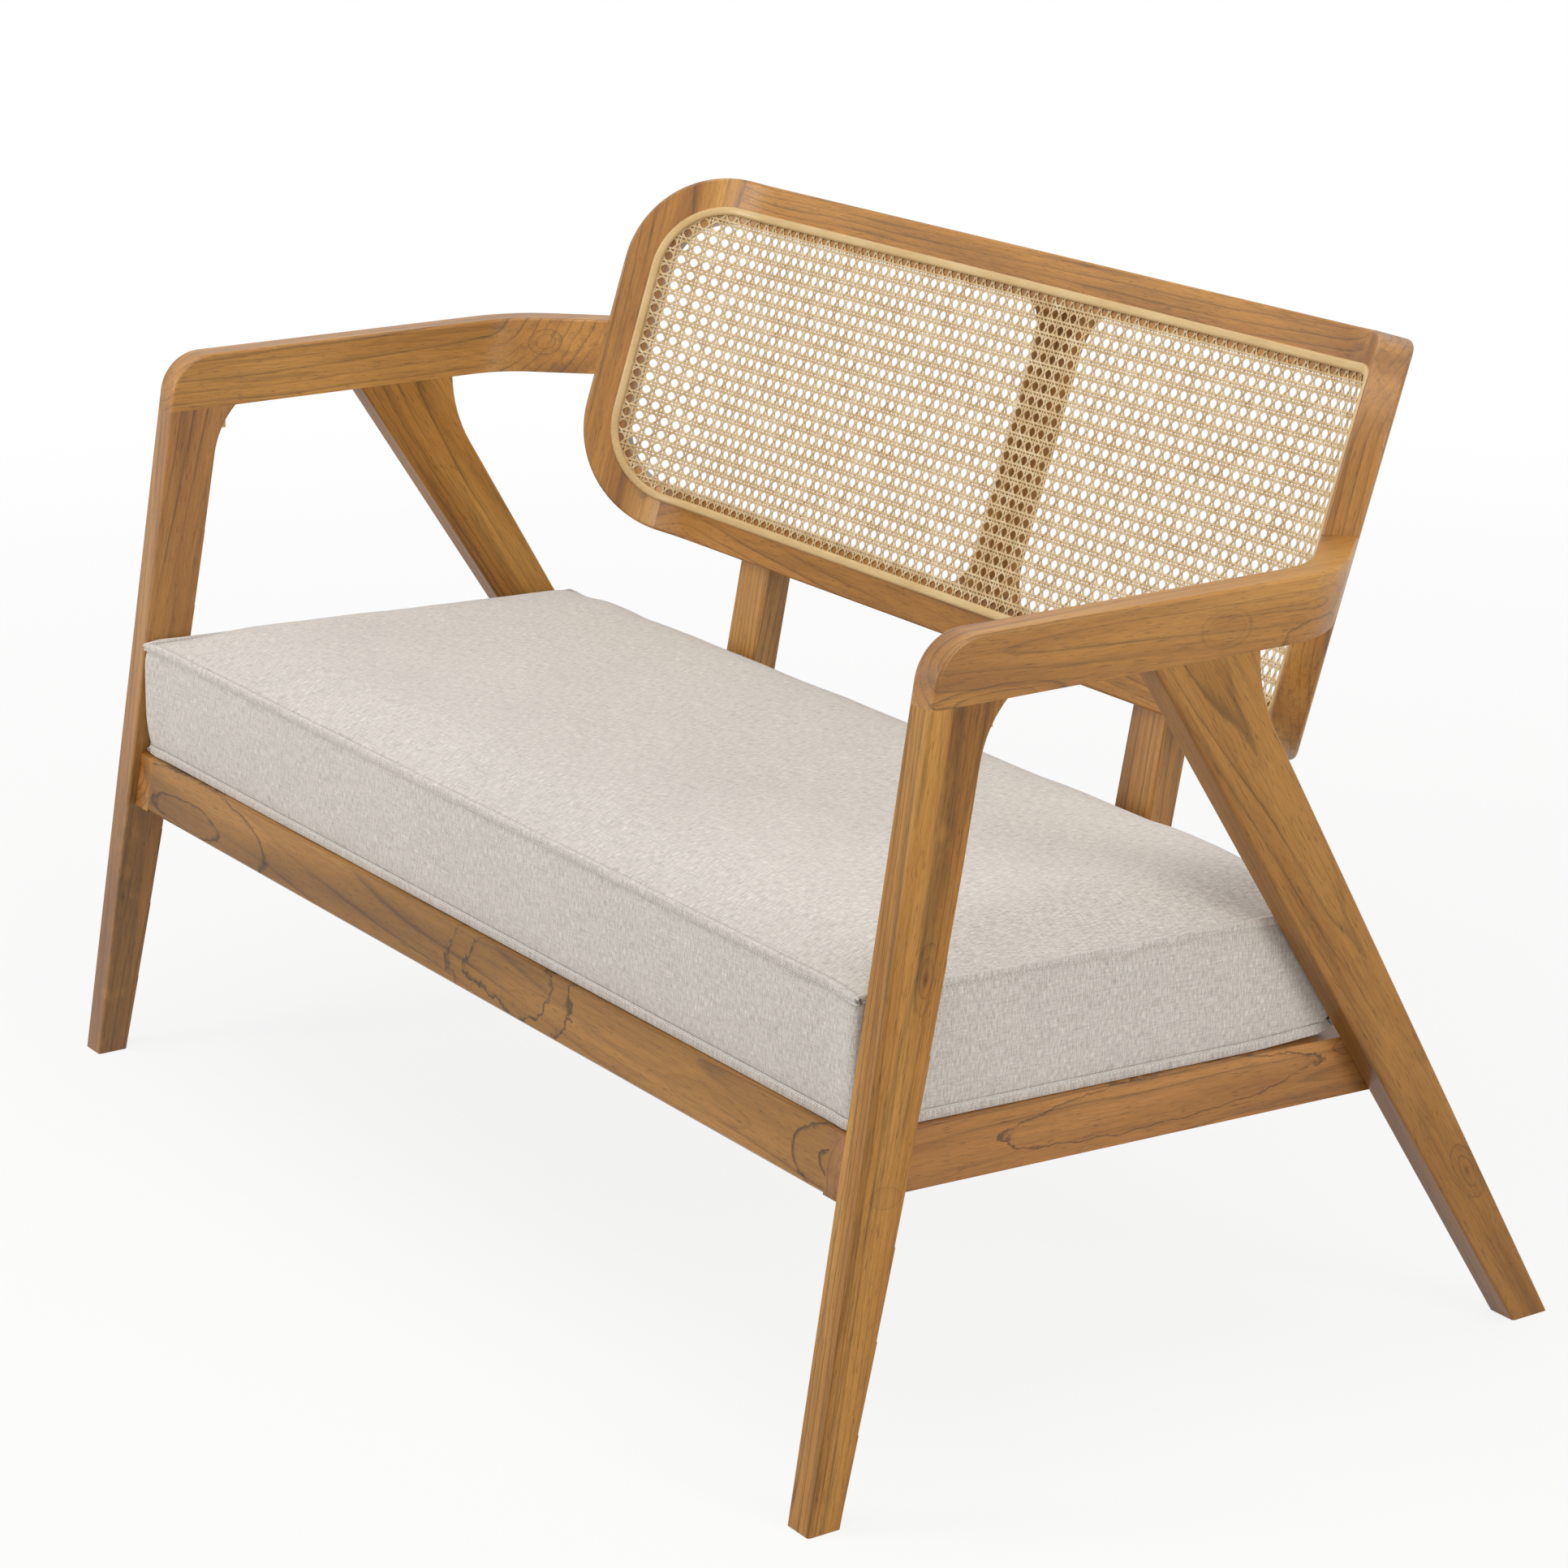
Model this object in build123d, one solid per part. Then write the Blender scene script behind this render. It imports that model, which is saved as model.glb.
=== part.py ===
from build123d import *
import math
import os

os.makedirs("parts", exist_ok=True)

# Overall size of the loveseat, origin on the floor under its middle, front towards -Y
width = 1220
depth = 724
plank = 28
leg_height = 604
arm_height = 50
eased_edge = 2.5

# Front legs, drawn from the side: a leaning taper with a cove under the arm
front_foot_depth = 29
front_leg_lean = 103
front_neck_depth = 50.5
front_leg_belly = 4
front_cove_height = 44
front_cove_radius = 80

# Rear legs, raked back to the floor behind the seat
rear_foot_depth = 37
rear_top_depth = 79
leg_top_gap = 130.2
rear_cove_radius = 130

# Arms: level boards that turn in at the rear to meet the back
arm_nose_radius = 40
arm_bend_radius = 72

# Back panel: one board bent forward at both ends, then reclined as a whole
back_recline = 18.5
back_drop = 142.6
back_proud = 7.6
back_height = 341
back_end_setback = 92.3
back_bend_radius = 115.4
back_bend_angle = 44
back_end_straight = 57
back_corner_radius = 100
back_joint_share = 0.547

# Face of the back frame: wood, spline groove, then a lip that the cane lies on
frame_face = 27
groove_width = 8
groove_depth = 7
lip_width = 7
cane_thickness = 1.2
cane_tuck = 5
bead_height = 2.2

# Woven cane, one coarse gap standing for each small group of real ones
cane_columns = 28
cane_rows = 7
cane_gap_share = 0.68
cane_edge_margin = 6

# Slat behind the cane, relieved in front and flared at both feet
brace_width = 47
brace_thickness = 17
brace_relief = 12
brace_flare = 14
brace_flare_length = 36
brace_foot_length = 34
brace_foot_radius = 11

# Posts that carry the back on the rear seat rail
post_spacing = 587
post_width = 46
post_lean = 11.5
post_leg_inset = 44.1
post_tenon = 20
post_shoulder = 5

# Seat frame, sloping down to the rear between the legs
seat_slope = 2
seat_drop = 317
apron_height = 49
apron_thickness = 26
apron_setback = 8.3
apron_end_inset = 12
slat_count = 7
slat_width = 45
slat_thickness = 14
slat_end_gap = 1
cleat_size = 20
support_width = 32
block_leg = 62
block_thickness = 28

# Loose tenons that join the boards
tenon_thickness = 10
tenon_margin = 8
arm_tenon_reach = 22
rim_tenon_reach = 20
seat_tenon_in_leg = 14
seat_tenon_in_rail = 30
seat_tenon_in_side = 18

# Screws and bolts, each round bar drawn with a few flat sides
bolt_diameter = 6
bolt_head_diameter = 14
bolt_head_height = 4
bolt_spacing = 22
bolt_inset = 24
insert_diameter = 10
insert_length = 13
screw_diameter = 4
screw_head_diameter = 8
screw_head_height = 3
slat_screw_length = 30
slat_screw_inset = 10
brace_screw_length = 46
cleat_screw_length = 36
block_screw_length = 50
hardware_sides = 10

# Seat cushion: foam in a zipped cover, with a crown and drawn-in sides
cushion_side_gap = 7
cushion_post_gap = 6.8
cushion_setback = 8
cushion_back_lean = 12
cushion_front_lean = 6
cushion_side = 96
cushion_turn_under = 7
cushion_crown = 26
cushion_reach_share = 0.385
cushion_draw_in = 6
cushion_corner_radius = 26
soft_clearance = 0.3
cover_thickness = 1.2
crown_shares = ((0.1, 0.35), (0.3, 0.7), (0.6, 0.93), (1, 1))

# Zip along the lower back edge of the cover
zip_height = 20
zip_end_gap = 16
tape_width = 24
tape_thickness = 1
slider_length = 10
slider_width = 9
slider_thickness = 3
pull_length = 22
pull_width = 6
pull_thickness = 1.2
pull_gap = 0.4

# One overrun for every cut, well past any face
overrun = 60
reach = 2 * width

# Places that follow from these sizes
foot_front = -depth / 2
foot_back = depth / 2
inner_face = width / 2 - plank
arm_top = leg_height + arm_height
seat_height = leg_height - seat_drop
recline = math.radians(back_recline)
bend = math.radians(back_bend_angle)
back_turn_in = back_bend_radius * math.sin(bend) + back_end_straight * math.cos(bend)
back_straight = width / 2 - back_end_setback - back_turn_in
half_panel = back_straight + back_bend_radius * bend + back_end_straight
joint_angle = back_joint_share * bend
member = frame_face + groove_width + lip_width


def other_side(shape):
    return mirror(shape, about=Plane.YZ)


def side_board(outline, inner, thickness):
    """Board that stands in a plane across X, drawn by its side outline"""
    return extrude(Plane.YZ.offset(inner) * make_face(outline), amount=thickness)


def bar_section(diameter):
    return RegularPolygon(diameter / 2, hardware_sides)


def screw(place, length):
    """Countersunk screw, its flat head on the place and its shank along the place's Z"""
    shank = bar_section(screw_diameter)
    head = loft([bar_section(screw_head_diameter), Pos(0, 0, screw_head_height) * shank], ruled=True)
    return place * (head + extrude(shank, amount=length))


# Legs

def front_leg():
    front_low = (foot_front, 0)
    front_high = (foot_front + front_leg_lean, leg_height)
    neck_height = leg_height - front_cove_height
    neck = (foot_front + front_leg_lean * neck_height / leg_height + front_neck_depth, neck_height)
    back_low = (foot_front + front_foot_depth, 0)
    middle = ((back_low[0] + neck[0]) / 2 + front_leg_belly, neck_height / 2)
    belly = ThreePointArc(back_low, middle, neck)
    start = belly % 1
    first_angle = math.asin(start.X)
    last_angle = math.asin(start.X + front_cove_height / front_cove_radius)
    turn = math.degrees(last_angle - first_angle)
    cove = JernArc(belly @ 1, start, front_cove_radius, -turn)
    outline = belly + cove + Polyline(cove @ 1, front_high, front_low, back_low)
    return outline, (cove @ 1).X


def rear_leg():
    front_low = (foot_back - rear_foot_depth, 0)
    front_high = (rear_leg_top_front, leg_height)
    angle = math.atan(rear_leg_back_lean / leg_height)
    rise = rear_cove_radius * math.sin(angle)
    start = (foot_back - math.tan(angle) * (leg_height - rise), leg_height - rise)
    back_edge = Line((foot_back, 0), start)
    cove = JernArc(start, back_edge % 1, rear_cove_radius, -math.degrees(angle))
    outline = back_edge + cove + Polyline(cove @ 1, front_high, front_low, (foot_back, 0))
    return outline, (cove @ 1).X


def eased(board):
    """Round the long edges of a standing board, leaving its end faces square"""
    long_edges = [e for e in board.edges()
                  if abs(e.center().X - board.center().X) > plank / 4
                  and eased_edge < e.center().Z < leg_height - eased_edge]
    return fillet(long_edges, eased_edge)


front_outline, front_leg_top_back = front_leg()
rear_leg_top_front = front_leg_top_back + leg_top_gap
rear_leg_back_lean = foot_back - rear_leg_top_front - rear_top_depth
rear_outline, rear_leg_top_back = rear_leg()
front_leg_right = eased(side_board(front_outline, inner_face, plank))
rear_leg_right = eased(side_board(rear_outline, inner_face, plank))

# The posts stand just ahead of the rear legs' back edges, and the back panel stands on the posts

leg_back_at_seat = foot_back - rear_leg_back_lean * seat_height / leg_height
rear_lean = math.tan(math.radians(post_lean))
post_line = leg_back_at_seat - post_leg_inset - rear_lean * seat_height
back_base_height = leg_height - back_drop
back_front = post_line + rear_lean * back_base_height - back_proud

# Back panel, drawn upright with its front face on Y = 0 and its lower edge on Z = 0

to_back =Pos(0, back_front, back_base_height) * Rot(-back_recline, 0, 0)
bend_centre = (back_straight, -back_bend_radius)
end_tangent = Vector(math.cos(bend), -math.sin(bend), 0)
end_normal = Vector(math.sin(bend), math.cos(bend), 0)


def bend_point(offset, angle):
    radius = back_bend_radius + offset
    return (bend_centre[0] + radius * math.sin(angle), bend_centre[1] + radius * math.cos(angle))


def end_point(offset):
    x, y = bend_point(offset, bend)
    return (x + back_end_straight * end_tangent.X, y + back_end_straight * end_tangent.Y)


def bent_line(offset):
    """Right half of the bent board's plan line at a depth behind its front face"""
    line = Line((0, offset), (back_straight, offset))
    line += ThreePointArc((back_straight, offset), bend_point(offset, bend / 2), bend_point(offset, bend))
    return line + Line(bend_point(offset, bend), end_point(offset))


def half_band(near, far):
    """Right half of the bent board in plan, between two depths behind its front face"""
    sides = Line((0, near), (0, far)) + Line(end_point(near), end_point(far))
    return make_face(bent_line(near) + bent_line(far) + sides)


def half_shape(near, far, inset, ease=0):
    """Right half of the bent board, its outline drawn in from the outer edge by an inset"""
    blank = extrude(half_band(near, far), amount=back_height)
    end = end_point(0)
    plane = Plane(origin=(end[0], end[1], 0), x_dir=-end_tangent, z_dir=end_normal)
    low, high = inset, back_height - inset
    open_side = [(reach, low), (inset, low), (inset, high), (reach, high)]
    window = make_face(FilletPolyline(*open_side, radius=back_corner_radius - inset)
                       + Line(open_side[-1], open_side[0]))
    shape = blank & extrude(plane * window, amount=reach, both=True)
    if ease:
        shape = fillet([e for e in shape.edges() if e.center().X > eased_edge
                        and abs(e.length - plank) > eased_edge / 2], ease)
    return shape


def half_ring(near, far, outer_inset, inner_inset):
    cut = half_shape(near - overrun / 4, far + overrun / 4, inner_inset)
    return half_shape(near, far, outer_inset) - cut


def whole(half):
    return half + other_side(half)


groove_inset = frame_face
lip_inset = frame_face + groove_width
square_rim = half_shape(0, plank, 0)
arm_slab = to_back.inverse() * Pos(0, 0, leg_height) * Box(
    reach, reach, arm_height, align=(Align.CENTER, Align.CENTER, Align.MIN))
eased_board = half_shape(0, plank, 0, eased_edge) + (square_rim & arm_slab)
half_frame = eased_board - half_shape(-overrun / 4, plank + overrun / 4, member)
half_frame -= half_ring(-overrun / 4, groove_depth, groove_inset, lip_inset)
half_frame -= half_ring(-overrun / 4, cane_thickness, lip_inset, member + lip_width)

joint_plane = Plane(origin=(*bend_centre, 0), x_dir=(math.cos(joint_angle), -math.sin(joint_angle), 0),
                    z_dir=(0, 0, 1))
beyond_joint = joint_plane * Box(reach, reach, reach, align=(Align.MIN, Align.CENTER, Align.CENTER))
upper_half = Pos(0, 0, back_height / 2) * Box(
    reach, reach, reach, align=(Align.CENTER, Align.CENTER, Align.MIN))
back_end_right = to_back * (half_frame & beyond_joint)
half_rails = half_frame - beyond_joint
back_top_rail = to_back * whole(half_rails & upper_half)
back_bottom_rail = to_back * whole(half_rails - upper_half)

# Spline: a bead with chamfered sides that wedges the cane into its groove


def depth_behind(point):
    """How far a point lies behind the bent front face"""
    angle = math.atan2(point.X - bend_centre[0], point.Y - bend_centre[1])
    if angle <= 0:
        return point.Y
    if angle <= bend:
        return math.hypot(point.X - bend_centre[0], point.Y - bend_centre[1]) - back_bend_radius
    end = end_point(0)
    return (point - Vector(end[0], end[1], point.Z)).dot(end_normal)


bead = half_ring(-bead_height, 0, groove_inset, lip_inset)
bead_sides = [e for e in bead.edges() if depth_behind(e.position_at(1 / 2)) < -bead_height / 2
              and e.center().X > eased_edge and e.length > 2 * bead_height]
bead = chamfer(bead_sides, bead_height * 2 / 3)
half_spline = bead + half_ring(0, groove_depth, groove_inset, lip_inset - cane_thickness)
cane_spline = to_back * whole(half_spline)

# Cane: one thin sheet with rows of gaps, its edge tucked down into the groove


def on_bend(place, height, depth=0):
    """Frame square to the bent front face at a distance along it from the middle"""
    angle = min(max(place - back_straight, 0) / back_bend_radius, bend)
    extra = max(place - back_straight - back_bend_radius * bend, 0)
    x, y = bend_point(depth, angle) if place > back_straight else (place, depth)
    x += extra * end_tangent.X
    y += extra * end_tangent.Y
    return Location((x, y, height), (0, 0, -math.degrees(angle)))


gap_margin = member + cane_edge_margin
column_pitch = 2 * (half_panel - gap_margin) / cane_columns
row_pitch = (back_height - 2 * gap_margin) / cane_rows
gap = Box(cane_gap_share * column_pitch, overrun / 4, cane_gap_share * row_pitch)
gaps = []
for column in range(cane_columns // 2):
    for row in range(cane_rows):
        place = on_bend((column + 1 / 2) * column_pitch, gap_margin + (row + 1 / 2) * row_pitch)
        gaps.append(place * gap)
tuck = half_ring(0, cane_tuck, lip_inset - cane_thickness, lip_inset)
half_cane = half_shape(0, cane_thickness, lip_inset) + tuck - gaps
cane_panel = to_back * whole(half_cane)

# Slat behind the cane: two feet on the rails, relieved between them so that the cane can give


def brace():
    half = brace_width / 2
    foot = half + brace_flare
    low = member - brace_foot_length
    turn = member + brace_flare_length
    middle = back_height / 2
    flare = TangentArc((half, turn), (foot, member), tangent=(0, -1))
    side = Line((half, middle), (half, turn)) + flare + Polyline((foot, member), (foot, low), (0, low))
    side += Polyline((0, low), (0, middle), (half, middle))
    quarter = extrude(Plane.XZ.offset(-plank) * make_face(side), amount=-(brace_relief + brace_thickness))
    half_slat = quarter + mirror(quarter, about=Plane.XY.offset(middle))
    far = plank + brace_relief
    high = back_height - member
    relief = FilletPolyline((0, member), (far, member), (far, high), (0, high), radius=brace_foot_radius)
    relief += Line((0, high), (0, member))
    cut = extrude(Plane.YZ.offset(-reach) * make_face(relief), amount=2 * reach)
    return whole(half_slat - cut)


back_brace = to_back * brace()

# Arms: level boards whose faces run flush into the reclined rim of the back


def arm_plan(height):
    """Plan of the right arm at a height, its rear end lying in the end plane of the back"""
    tangent = end_tangent.rotate(Axis.X, -back_recline)
    upward = Vector(0, 0, 1).rotate(Axis.X, -back_recline)
    normal = end_normal.rotate(Axis.X, -back_recline)
    corner = (to_back * Pos(*end_point(0), 0)).position
    inner = corner + upward * ((height - corner.Z) / upward.Z)
    along = tangent - upward * (tangent.Z / upward.Z)
    across = Vector(-tangent.Y, tangent.X, 0)
    outer = inner + across * (plank / across.dot(normal))
    inner_turn = inner + along * ((inner_face - inner.X) / along.X)
    outer_turn = outer + along * ((width / 2 - outer.X) / along.X)
    inside = FilletPolyline((inner_face, foot_front), (inner_face, inner_turn.Y), (inner.X, inner.Y),
                            radius=arm_bend_radius)
    outside = FilletPolyline((width / 2, foot_front), (width / 2, outer_turn.Y), (outer.X, outer.Y),
                             radius=arm_bend_radius + plank)
    ends = Line((inner.X, inner.Y), (outer.X, outer.Y))
    ends += Line((inner_face, foot_front), (width / 2, foot_front))
    return Plane.XY.offset(height) * make_face(inside + outside + ends)


def on_rim(edge):
    """Whether an edge lies in the joint between arm and back"""
    tangent = end_tangent.rotate(Axis.X, -back_recline)
    corner = (to_back * Pos(*end_point(0), 0)).position
    return all(abs((edge.position_at(t) - corner).dot(tangent)) < eased_edge / 2 for t in (0, 1 / 2, 1))


def arm():
    board = loft([arm_plan(leg_height), arm_plan(arm_top)], ruled=True)
    low = (foot_front + front_leg_lean, leg_height)
    high = (foot_front + front_leg_lean * arm_top / leg_height, arm_top)
    nose = FilletPolyline(low, high, (foot_back, arm_top), radius=arm_nose_radius)
    nose += Polyline((foot_back, arm_top), (foot_back, leg_height), low)
    shape = board & side_board(nose, 0, width)
    top_edges = [e for e in shape.edges() if e.center().Z > leg_height + eased_edge
                 and abs(e.center().X - inner_face) < overrun
                 and abs(e.length - plank) > eased_edge and e.length > eased_edge
                 and not on_rim(e)]
    return fillet(top_edges, eased_edge)


arm_right = arm()

# Seat frame: a sloping box of boards between the legs

tilt = math.radians(seat_slope)
lean = front_leg_lean / leg_height
seat_front = foot_front + lean * seat_height + apron_setback
seat = Plane(origin=(0, seat_front, seat_height), x_dir=(1, 0, 0), z_dir=(0, math.sin(tilt), math.cos(tilt)))
side_inner = inner_face - apron_thickness
front_line = foot_front + apron_setback


def seat_layer(top, thickness):
    """Slab parallel to the seat, its top this far below the seat's own plane"""
    return seat.offset(-top) * Box(reach, reach, thickness, align=(Align.CENTER, Align.CENTER, Align.MAX))


def between_lines(start, start_lean, end, end_lean, inner, thickness):
    """Board across X between two leaning lines, from the floor to the arms"""
    outline = Polyline((start, 0), (start + start_lean * leg_height, leg_height),
                       (end + end_lean * leg_height, leg_height), (end, 0), close=True)
    return side_board(outline, inner, thickness)


def seat_y(line, line_lean, drop):
    """Place along the seat where a leaning line crosses a level below the seat's plane"""
    low = seat.to_local_coords(Vector(0, line, 0))
    high = seat.to_local_coords(Vector(0, line + line_lean * leg_height, leg_height))
    share = (-drop - low.Z) / (high.Z - low.Z)
    return low.Y + share * (high.Y - low.Y)


apron_layer = seat_layer(0, apron_height)
back_edge_lean = -rear_leg_back_lean / leg_height
side_apron_right = apron_layer & between_lines(
    front_line, lean, foot_back - apron_end_inset, back_edge_lean, side_inner, apron_thickness)
front_apron = apron_layer & between_lines(
    front_line, lean, front_line + apron_thickness, lean, -side_inner, 2 * side_inner)
rear_rail = apron_layer & between_lines(
    post_line, rear_lean, post_line + plank, rear_lean, -side_inner, 2 * side_inner)
front_apron = chamfer(front_apron.edges().filter_by(Axis.X).group_by(Axis.Y)[0], eased_edge)
seat_support = seat_layer(slat_thickness, apron_height - slat_thickness) & between_lines(
    front_line + apron_thickness, lean, post_line, rear_lean, -support_width / 2, support_width)

slat_zone_front = seat_y(front_line + apron_thickness, lean, 0)
slat_zone_back = seat_y(post_line, rear_lean, slat_thickness)
slat_gap = (slat_zone_back - slat_zone_front - slat_count * slat_width) / (slat_count + 1)
slat_length = 2 * (side_inner - slat_end_gap)
slat_places = [slat_zone_front + slat_gap + slat_width / 2 + i * (slat_gap + slat_width)
               for i in range(slat_count)]
slats = [seat * Pos(0, y, -slat_thickness / 2) * Box(slat_length, slat_width, slat_thickness)
         for y in slat_places]

cleat_front = slat_zone_front + block_leg
cleat_back = slat_zone_back - block_leg
cleat_middle = (cleat_front + cleat_back) / 2
cleat_length = cleat_back - cleat_front
slat_cleat_right = seat * Pos(side_inner - cleat_size / 2, cleat_middle, -slat_thickness - cleat_size / 2)
slat_cleat_right *= Box(cleat_size, cleat_length, cleat_size)


def corner_block(corner, inward):
    """Triangular block under the slats; its back runs into the board that trims it"""
    run = block_leg * inward
    into = apron_thickness / 2 * inward
    inner = side_inner - block_leg
    outline = Polyline((side_inner, corner - into), (side_inner, corner + run), (inner, corner),
                       (inner, corner - into), close=True)
    return seat.offset(-slat_thickness) * extrude(make_face(outline), amount=-block_thickness)


corner_block_front_right = corner_block(slat_zone_front, 1) - front_apron
corner_block_rear_right = corner_block(slat_zone_back, -1) - rear_rail

# Posts: tenoned into the rear rail below and into the bottom rail of the back above

above_seat = seat_layer(-reach, reach)
below_back = to_back * Box(reach, reach, reach, align=(Align.CENTER, Align.CENTER, Align.MAX))
post_inner = post_spacing / 2 - post_width / 2
post_board = between_lines(post_line, rear_lean, post_line + plank, rear_lean, post_inner, post_width)
tenon_board = between_lines(
    post_line + post_shoulder, rear_lean, post_line + plank - post_shoulder, rear_lean,
    post_inner + post_shoulder, post_width - 2 * post_shoulder)
post_body = post_board & above_seat & below_back
post_body = chamfer(post_body.edges().filter_by(Axis((0, 0, 0), (0, rear_lean, 1))), eased_edge * 2 / 3)
into_back = to_back * Box(reach, reach, post_tenon, align=(Align.CENTER, Align.CENTER, Align.MIN))
upper_tenon = tenon_board & into_back
lower_tenon = tenon_board & seat_layer(0, post_tenon)
back_post_right = post_body + upper_tenon + lower_tenon

# Loose tenons


def standing_tenon(front, back):
    y = (front + back) / 2
    return Pos(inner_face + plank / 2, y, leg_height) * Box(
        tenon_thickness, back - front - 2 * tenon_margin, 2 * arm_tenon_reach)


rim_middle = leg_height + arm_height / 2
end_corner = (to_back * Pos(*end_point(0), 0)).position
rim_level = (rim_middle - end_corner.Z) / math.cos(recline)
rim_tenon = to_back * on_bend(half_panel, rim_level, plank / 2) * Box(
    2 * rim_tenon_reach, tenon_thickness, arm_height - 2 * tenon_margin)
rear_front_lean = (foot_back - rear_foot_depth - rear_leg_top_front) / leg_height
arm_tenons = [standing_tenon(foot_front + front_leg_lean, front_leg_top_back),
              standing_tenon(rear_leg_top_front + arm_tenon_reach * rear_front_lean, rear_leg_top_back)]
tenon_depth = (plank + groove_depth) / 2
frame_tenons = [to_back * on_bend(back_straight + back_bend_radius * joint_angle, level, tenon_depth)
                * Box(2 * rim_tenon_reach, tenon_thickness, member - 2 * tenon_margin)
                for level in (member / 2, back_height - member / 2)]


def seat_tenon(line, line_lean, thickness, far):
    """Tenon from inside a seat board out through the side board, as far as an X"""
    near = side_inner - seat_tenon_in_rail
    drop = apron_height / 2
    y = seat_y(line, line_lean, drop) + thickness / 2
    return seat * Pos((near + far) / 2, y, -drop) * Box(
        far - near, tenon_thickness, apron_height - 2 * tenon_margin)


front_seat_tenon = seat_tenon(front_line, lean, apron_thickness, inner_face + seat_tenon_in_leg)
rear_seat_tenon = seat_tenon(post_line, rear_lean, plank, side_inner + seat_tenon_in_side)
seat_tenons = [front_seat_tenon, rear_seat_tenon]

# Bolts that hold the side boards to the rear legs, each in a threaded insert

bolt_y = seat_y(foot_back - apron_end_inset, back_edge_lean, apron_height / 2) - bolt_inset


def along_x(x, y, drop):
    """Plane in the seat's frame whose normal points outwards along X"""
    return seat * Plane(origin=(x, y, -drop), x_dir=(0, 1, 0), z_dir=(1, 0, 0)).location


def bolt(place):
    head = extrude(bar_section(bolt_head_diameter), amount=-bolt_head_height)
    return place * (head + extrude(bar_section(bolt_diameter), amount=apron_thickness + insert_length))


def insert(place):
    ring = bar_section(insert_diameter) - bar_section(bolt_diameter)
    return place * Pos(0, 0, apron_thickness) * extrude(ring, amount=insert_length)


bolt_places = [along_x(side_inner, bolt_y, apron_height / 2 + side * bolt_spacing / 2) for side in (-1, 1)]
leg_bolts = [bolt(p) for p in bolt_places]
leg_inserts = [insert(p) for p in bolt_places]

# Wood screws

slat_screws = []
for y in slat_places:
    x = side_inner - slat_screw_inset
    slat_screws.append(screw(seat * Plane(origin=(x, y, 0), z_dir=(0, 0, -1)).location, slat_screw_length))
cleat_screws = []
cleat_drop = slat_thickness + cleat_size / 2
for side in (-1, 1):
    place = along_x(side_inner - cleat_size, cleat_middle + side * cleat_length / 4, cleat_drop)
    cleat_screws.append(screw(place, cleat_screw_length))
block_screws = []
for corner, inward in ((slat_zone_front, 1), (slat_zone_back, -1)):
    x = side_inner - block_leg / 2
    y = corner + inward * block_leg / 2
    drop = slat_thickness + block_thickness / 2
    face = Plane(origin=(x, y, -drop), x_dir=(0, 0, 1), z_dir=(1, -inward, 0))
    block_screws.append(screw(seat * face.location, block_screw_length))
screw_inset = member - brace_foot_length / 2
screw_depth = plank + brace_relief + brace_thickness
brace_screws = []
for level in (screw_inset, back_height - screw_inset):
    face = Plane(origin=(0, screw_depth, level), z_dir=(0, -1, 0))
    brace_screws.append(screw(to_back * face.location, brace_screw_length))

# Cushion

cushion_half_width = inner_face - cushion_side_gap
cushion_back = seat_y(post_line, rear_lean, 0) - cushion_post_gap
crown_reach = cushion_reach_share * (cushion_back - cushion_setback)


def cushion_section(height, inset):
    """Outline of the cushion at a height above the seat, its front and sides drawn in"""
    share = height / (cushion_side + cushion_turn_under)
    front = cushion_setback + cushion_front_lean * share + inset
    back = cushion_back + cushion_back_lean * share - inset
    half = cushion_half_width - inset
    r = cushion_corner_radius
    bow = r * (1 - math.sqrt(1 / 2))
    right = ThreePointArc((half, back - r), (half - cushion_draw_in, (front + back) / 2), (half, front + r))
    near = ThreePointArc((half - r, front), (0, front + cushion_draw_in), (r - half, front))
    left = ThreePointArc((-half, front + r), (cushion_draw_in - half, (front + back) / 2), (-half, back - r))
    outline = Line((r - half, back), (half - r, back))
    outline += ThreePointArc((half - r, back), (half - bow, back - bow), (half, back - r)) + right
    outline += ThreePointArc((half, front + r), (half - bow, front + bow), (half - r, front)) + near
    outline += ThreePointArc((r - half, front), (bow - half, front + bow), (-half, front + r)) + left
    outline += ThreePointArc((-half, back - r), (bow - half, back - bow), (r - half, back))
    return seat.offset(height + soft_clearance) * make_face(outline)


def cushion_body(shrink):
    """Solid of the cushion, drawn in all round by a wall"""
    seam = cushion_turn_under + cushion_side
    sections = [(shrink, cushion_turn_under + shrink), (cushion_turn_under, shrink), (seam - shrink, shrink)]
    for out_share, up_share in crown_shares:
        sections.append((seam + cushion_crown * up_share - shrink, crown_reach * out_share + shrink))
    return loft([cushion_section(height, inset) for height, inset in sections], ruled=True)


cushion_cover = cushion_body(0) - cushion_body(cover_thickness)
cushion_core = cushion_body(cover_thickness + soft_clearance)

# Zip: tape, slider and pull on the back face of the cover

back_tilt = math.degrees(math.atan(cushion_back_lean / (cushion_side + cushion_turn_under)))
zip_share = zip_height / (cushion_side + cushion_turn_under)
zip_y = cushion_back + cushion_back_lean * zip_share
zip_end = cushion_half_width - cushion_corner_radius - zip_end_gap
zip_frame = seat * Pos(0, zip_y, zip_height + soft_clearance) * Rot(-back_tilt, 0, 0)
on_cover = (Align.CENTER, Align.MIN, Align.CENTER)
zip_tape = zip_frame * Box(2 * zip_end, tape_thickness, tape_width, align=on_cover)
slider_x = zip_end - slider_length / 2
slider_base = tape_thickness + soft_clearance
slider_place = Pos(slider_x, slider_base, 0)
zip_slider = zip_frame * slider_place * Box(slider_length, slider_thickness, slider_width, align=on_cover)
pull_place = Pos(slider_x, slider_base + slider_thickness + pull_gap, 0)
zip_pull = zip_frame * pull_place * Box(pull_length, pull_thickness, pull_width,
                                        align=(Align.MIN, Align.MIN, Align.CENTER))

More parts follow.
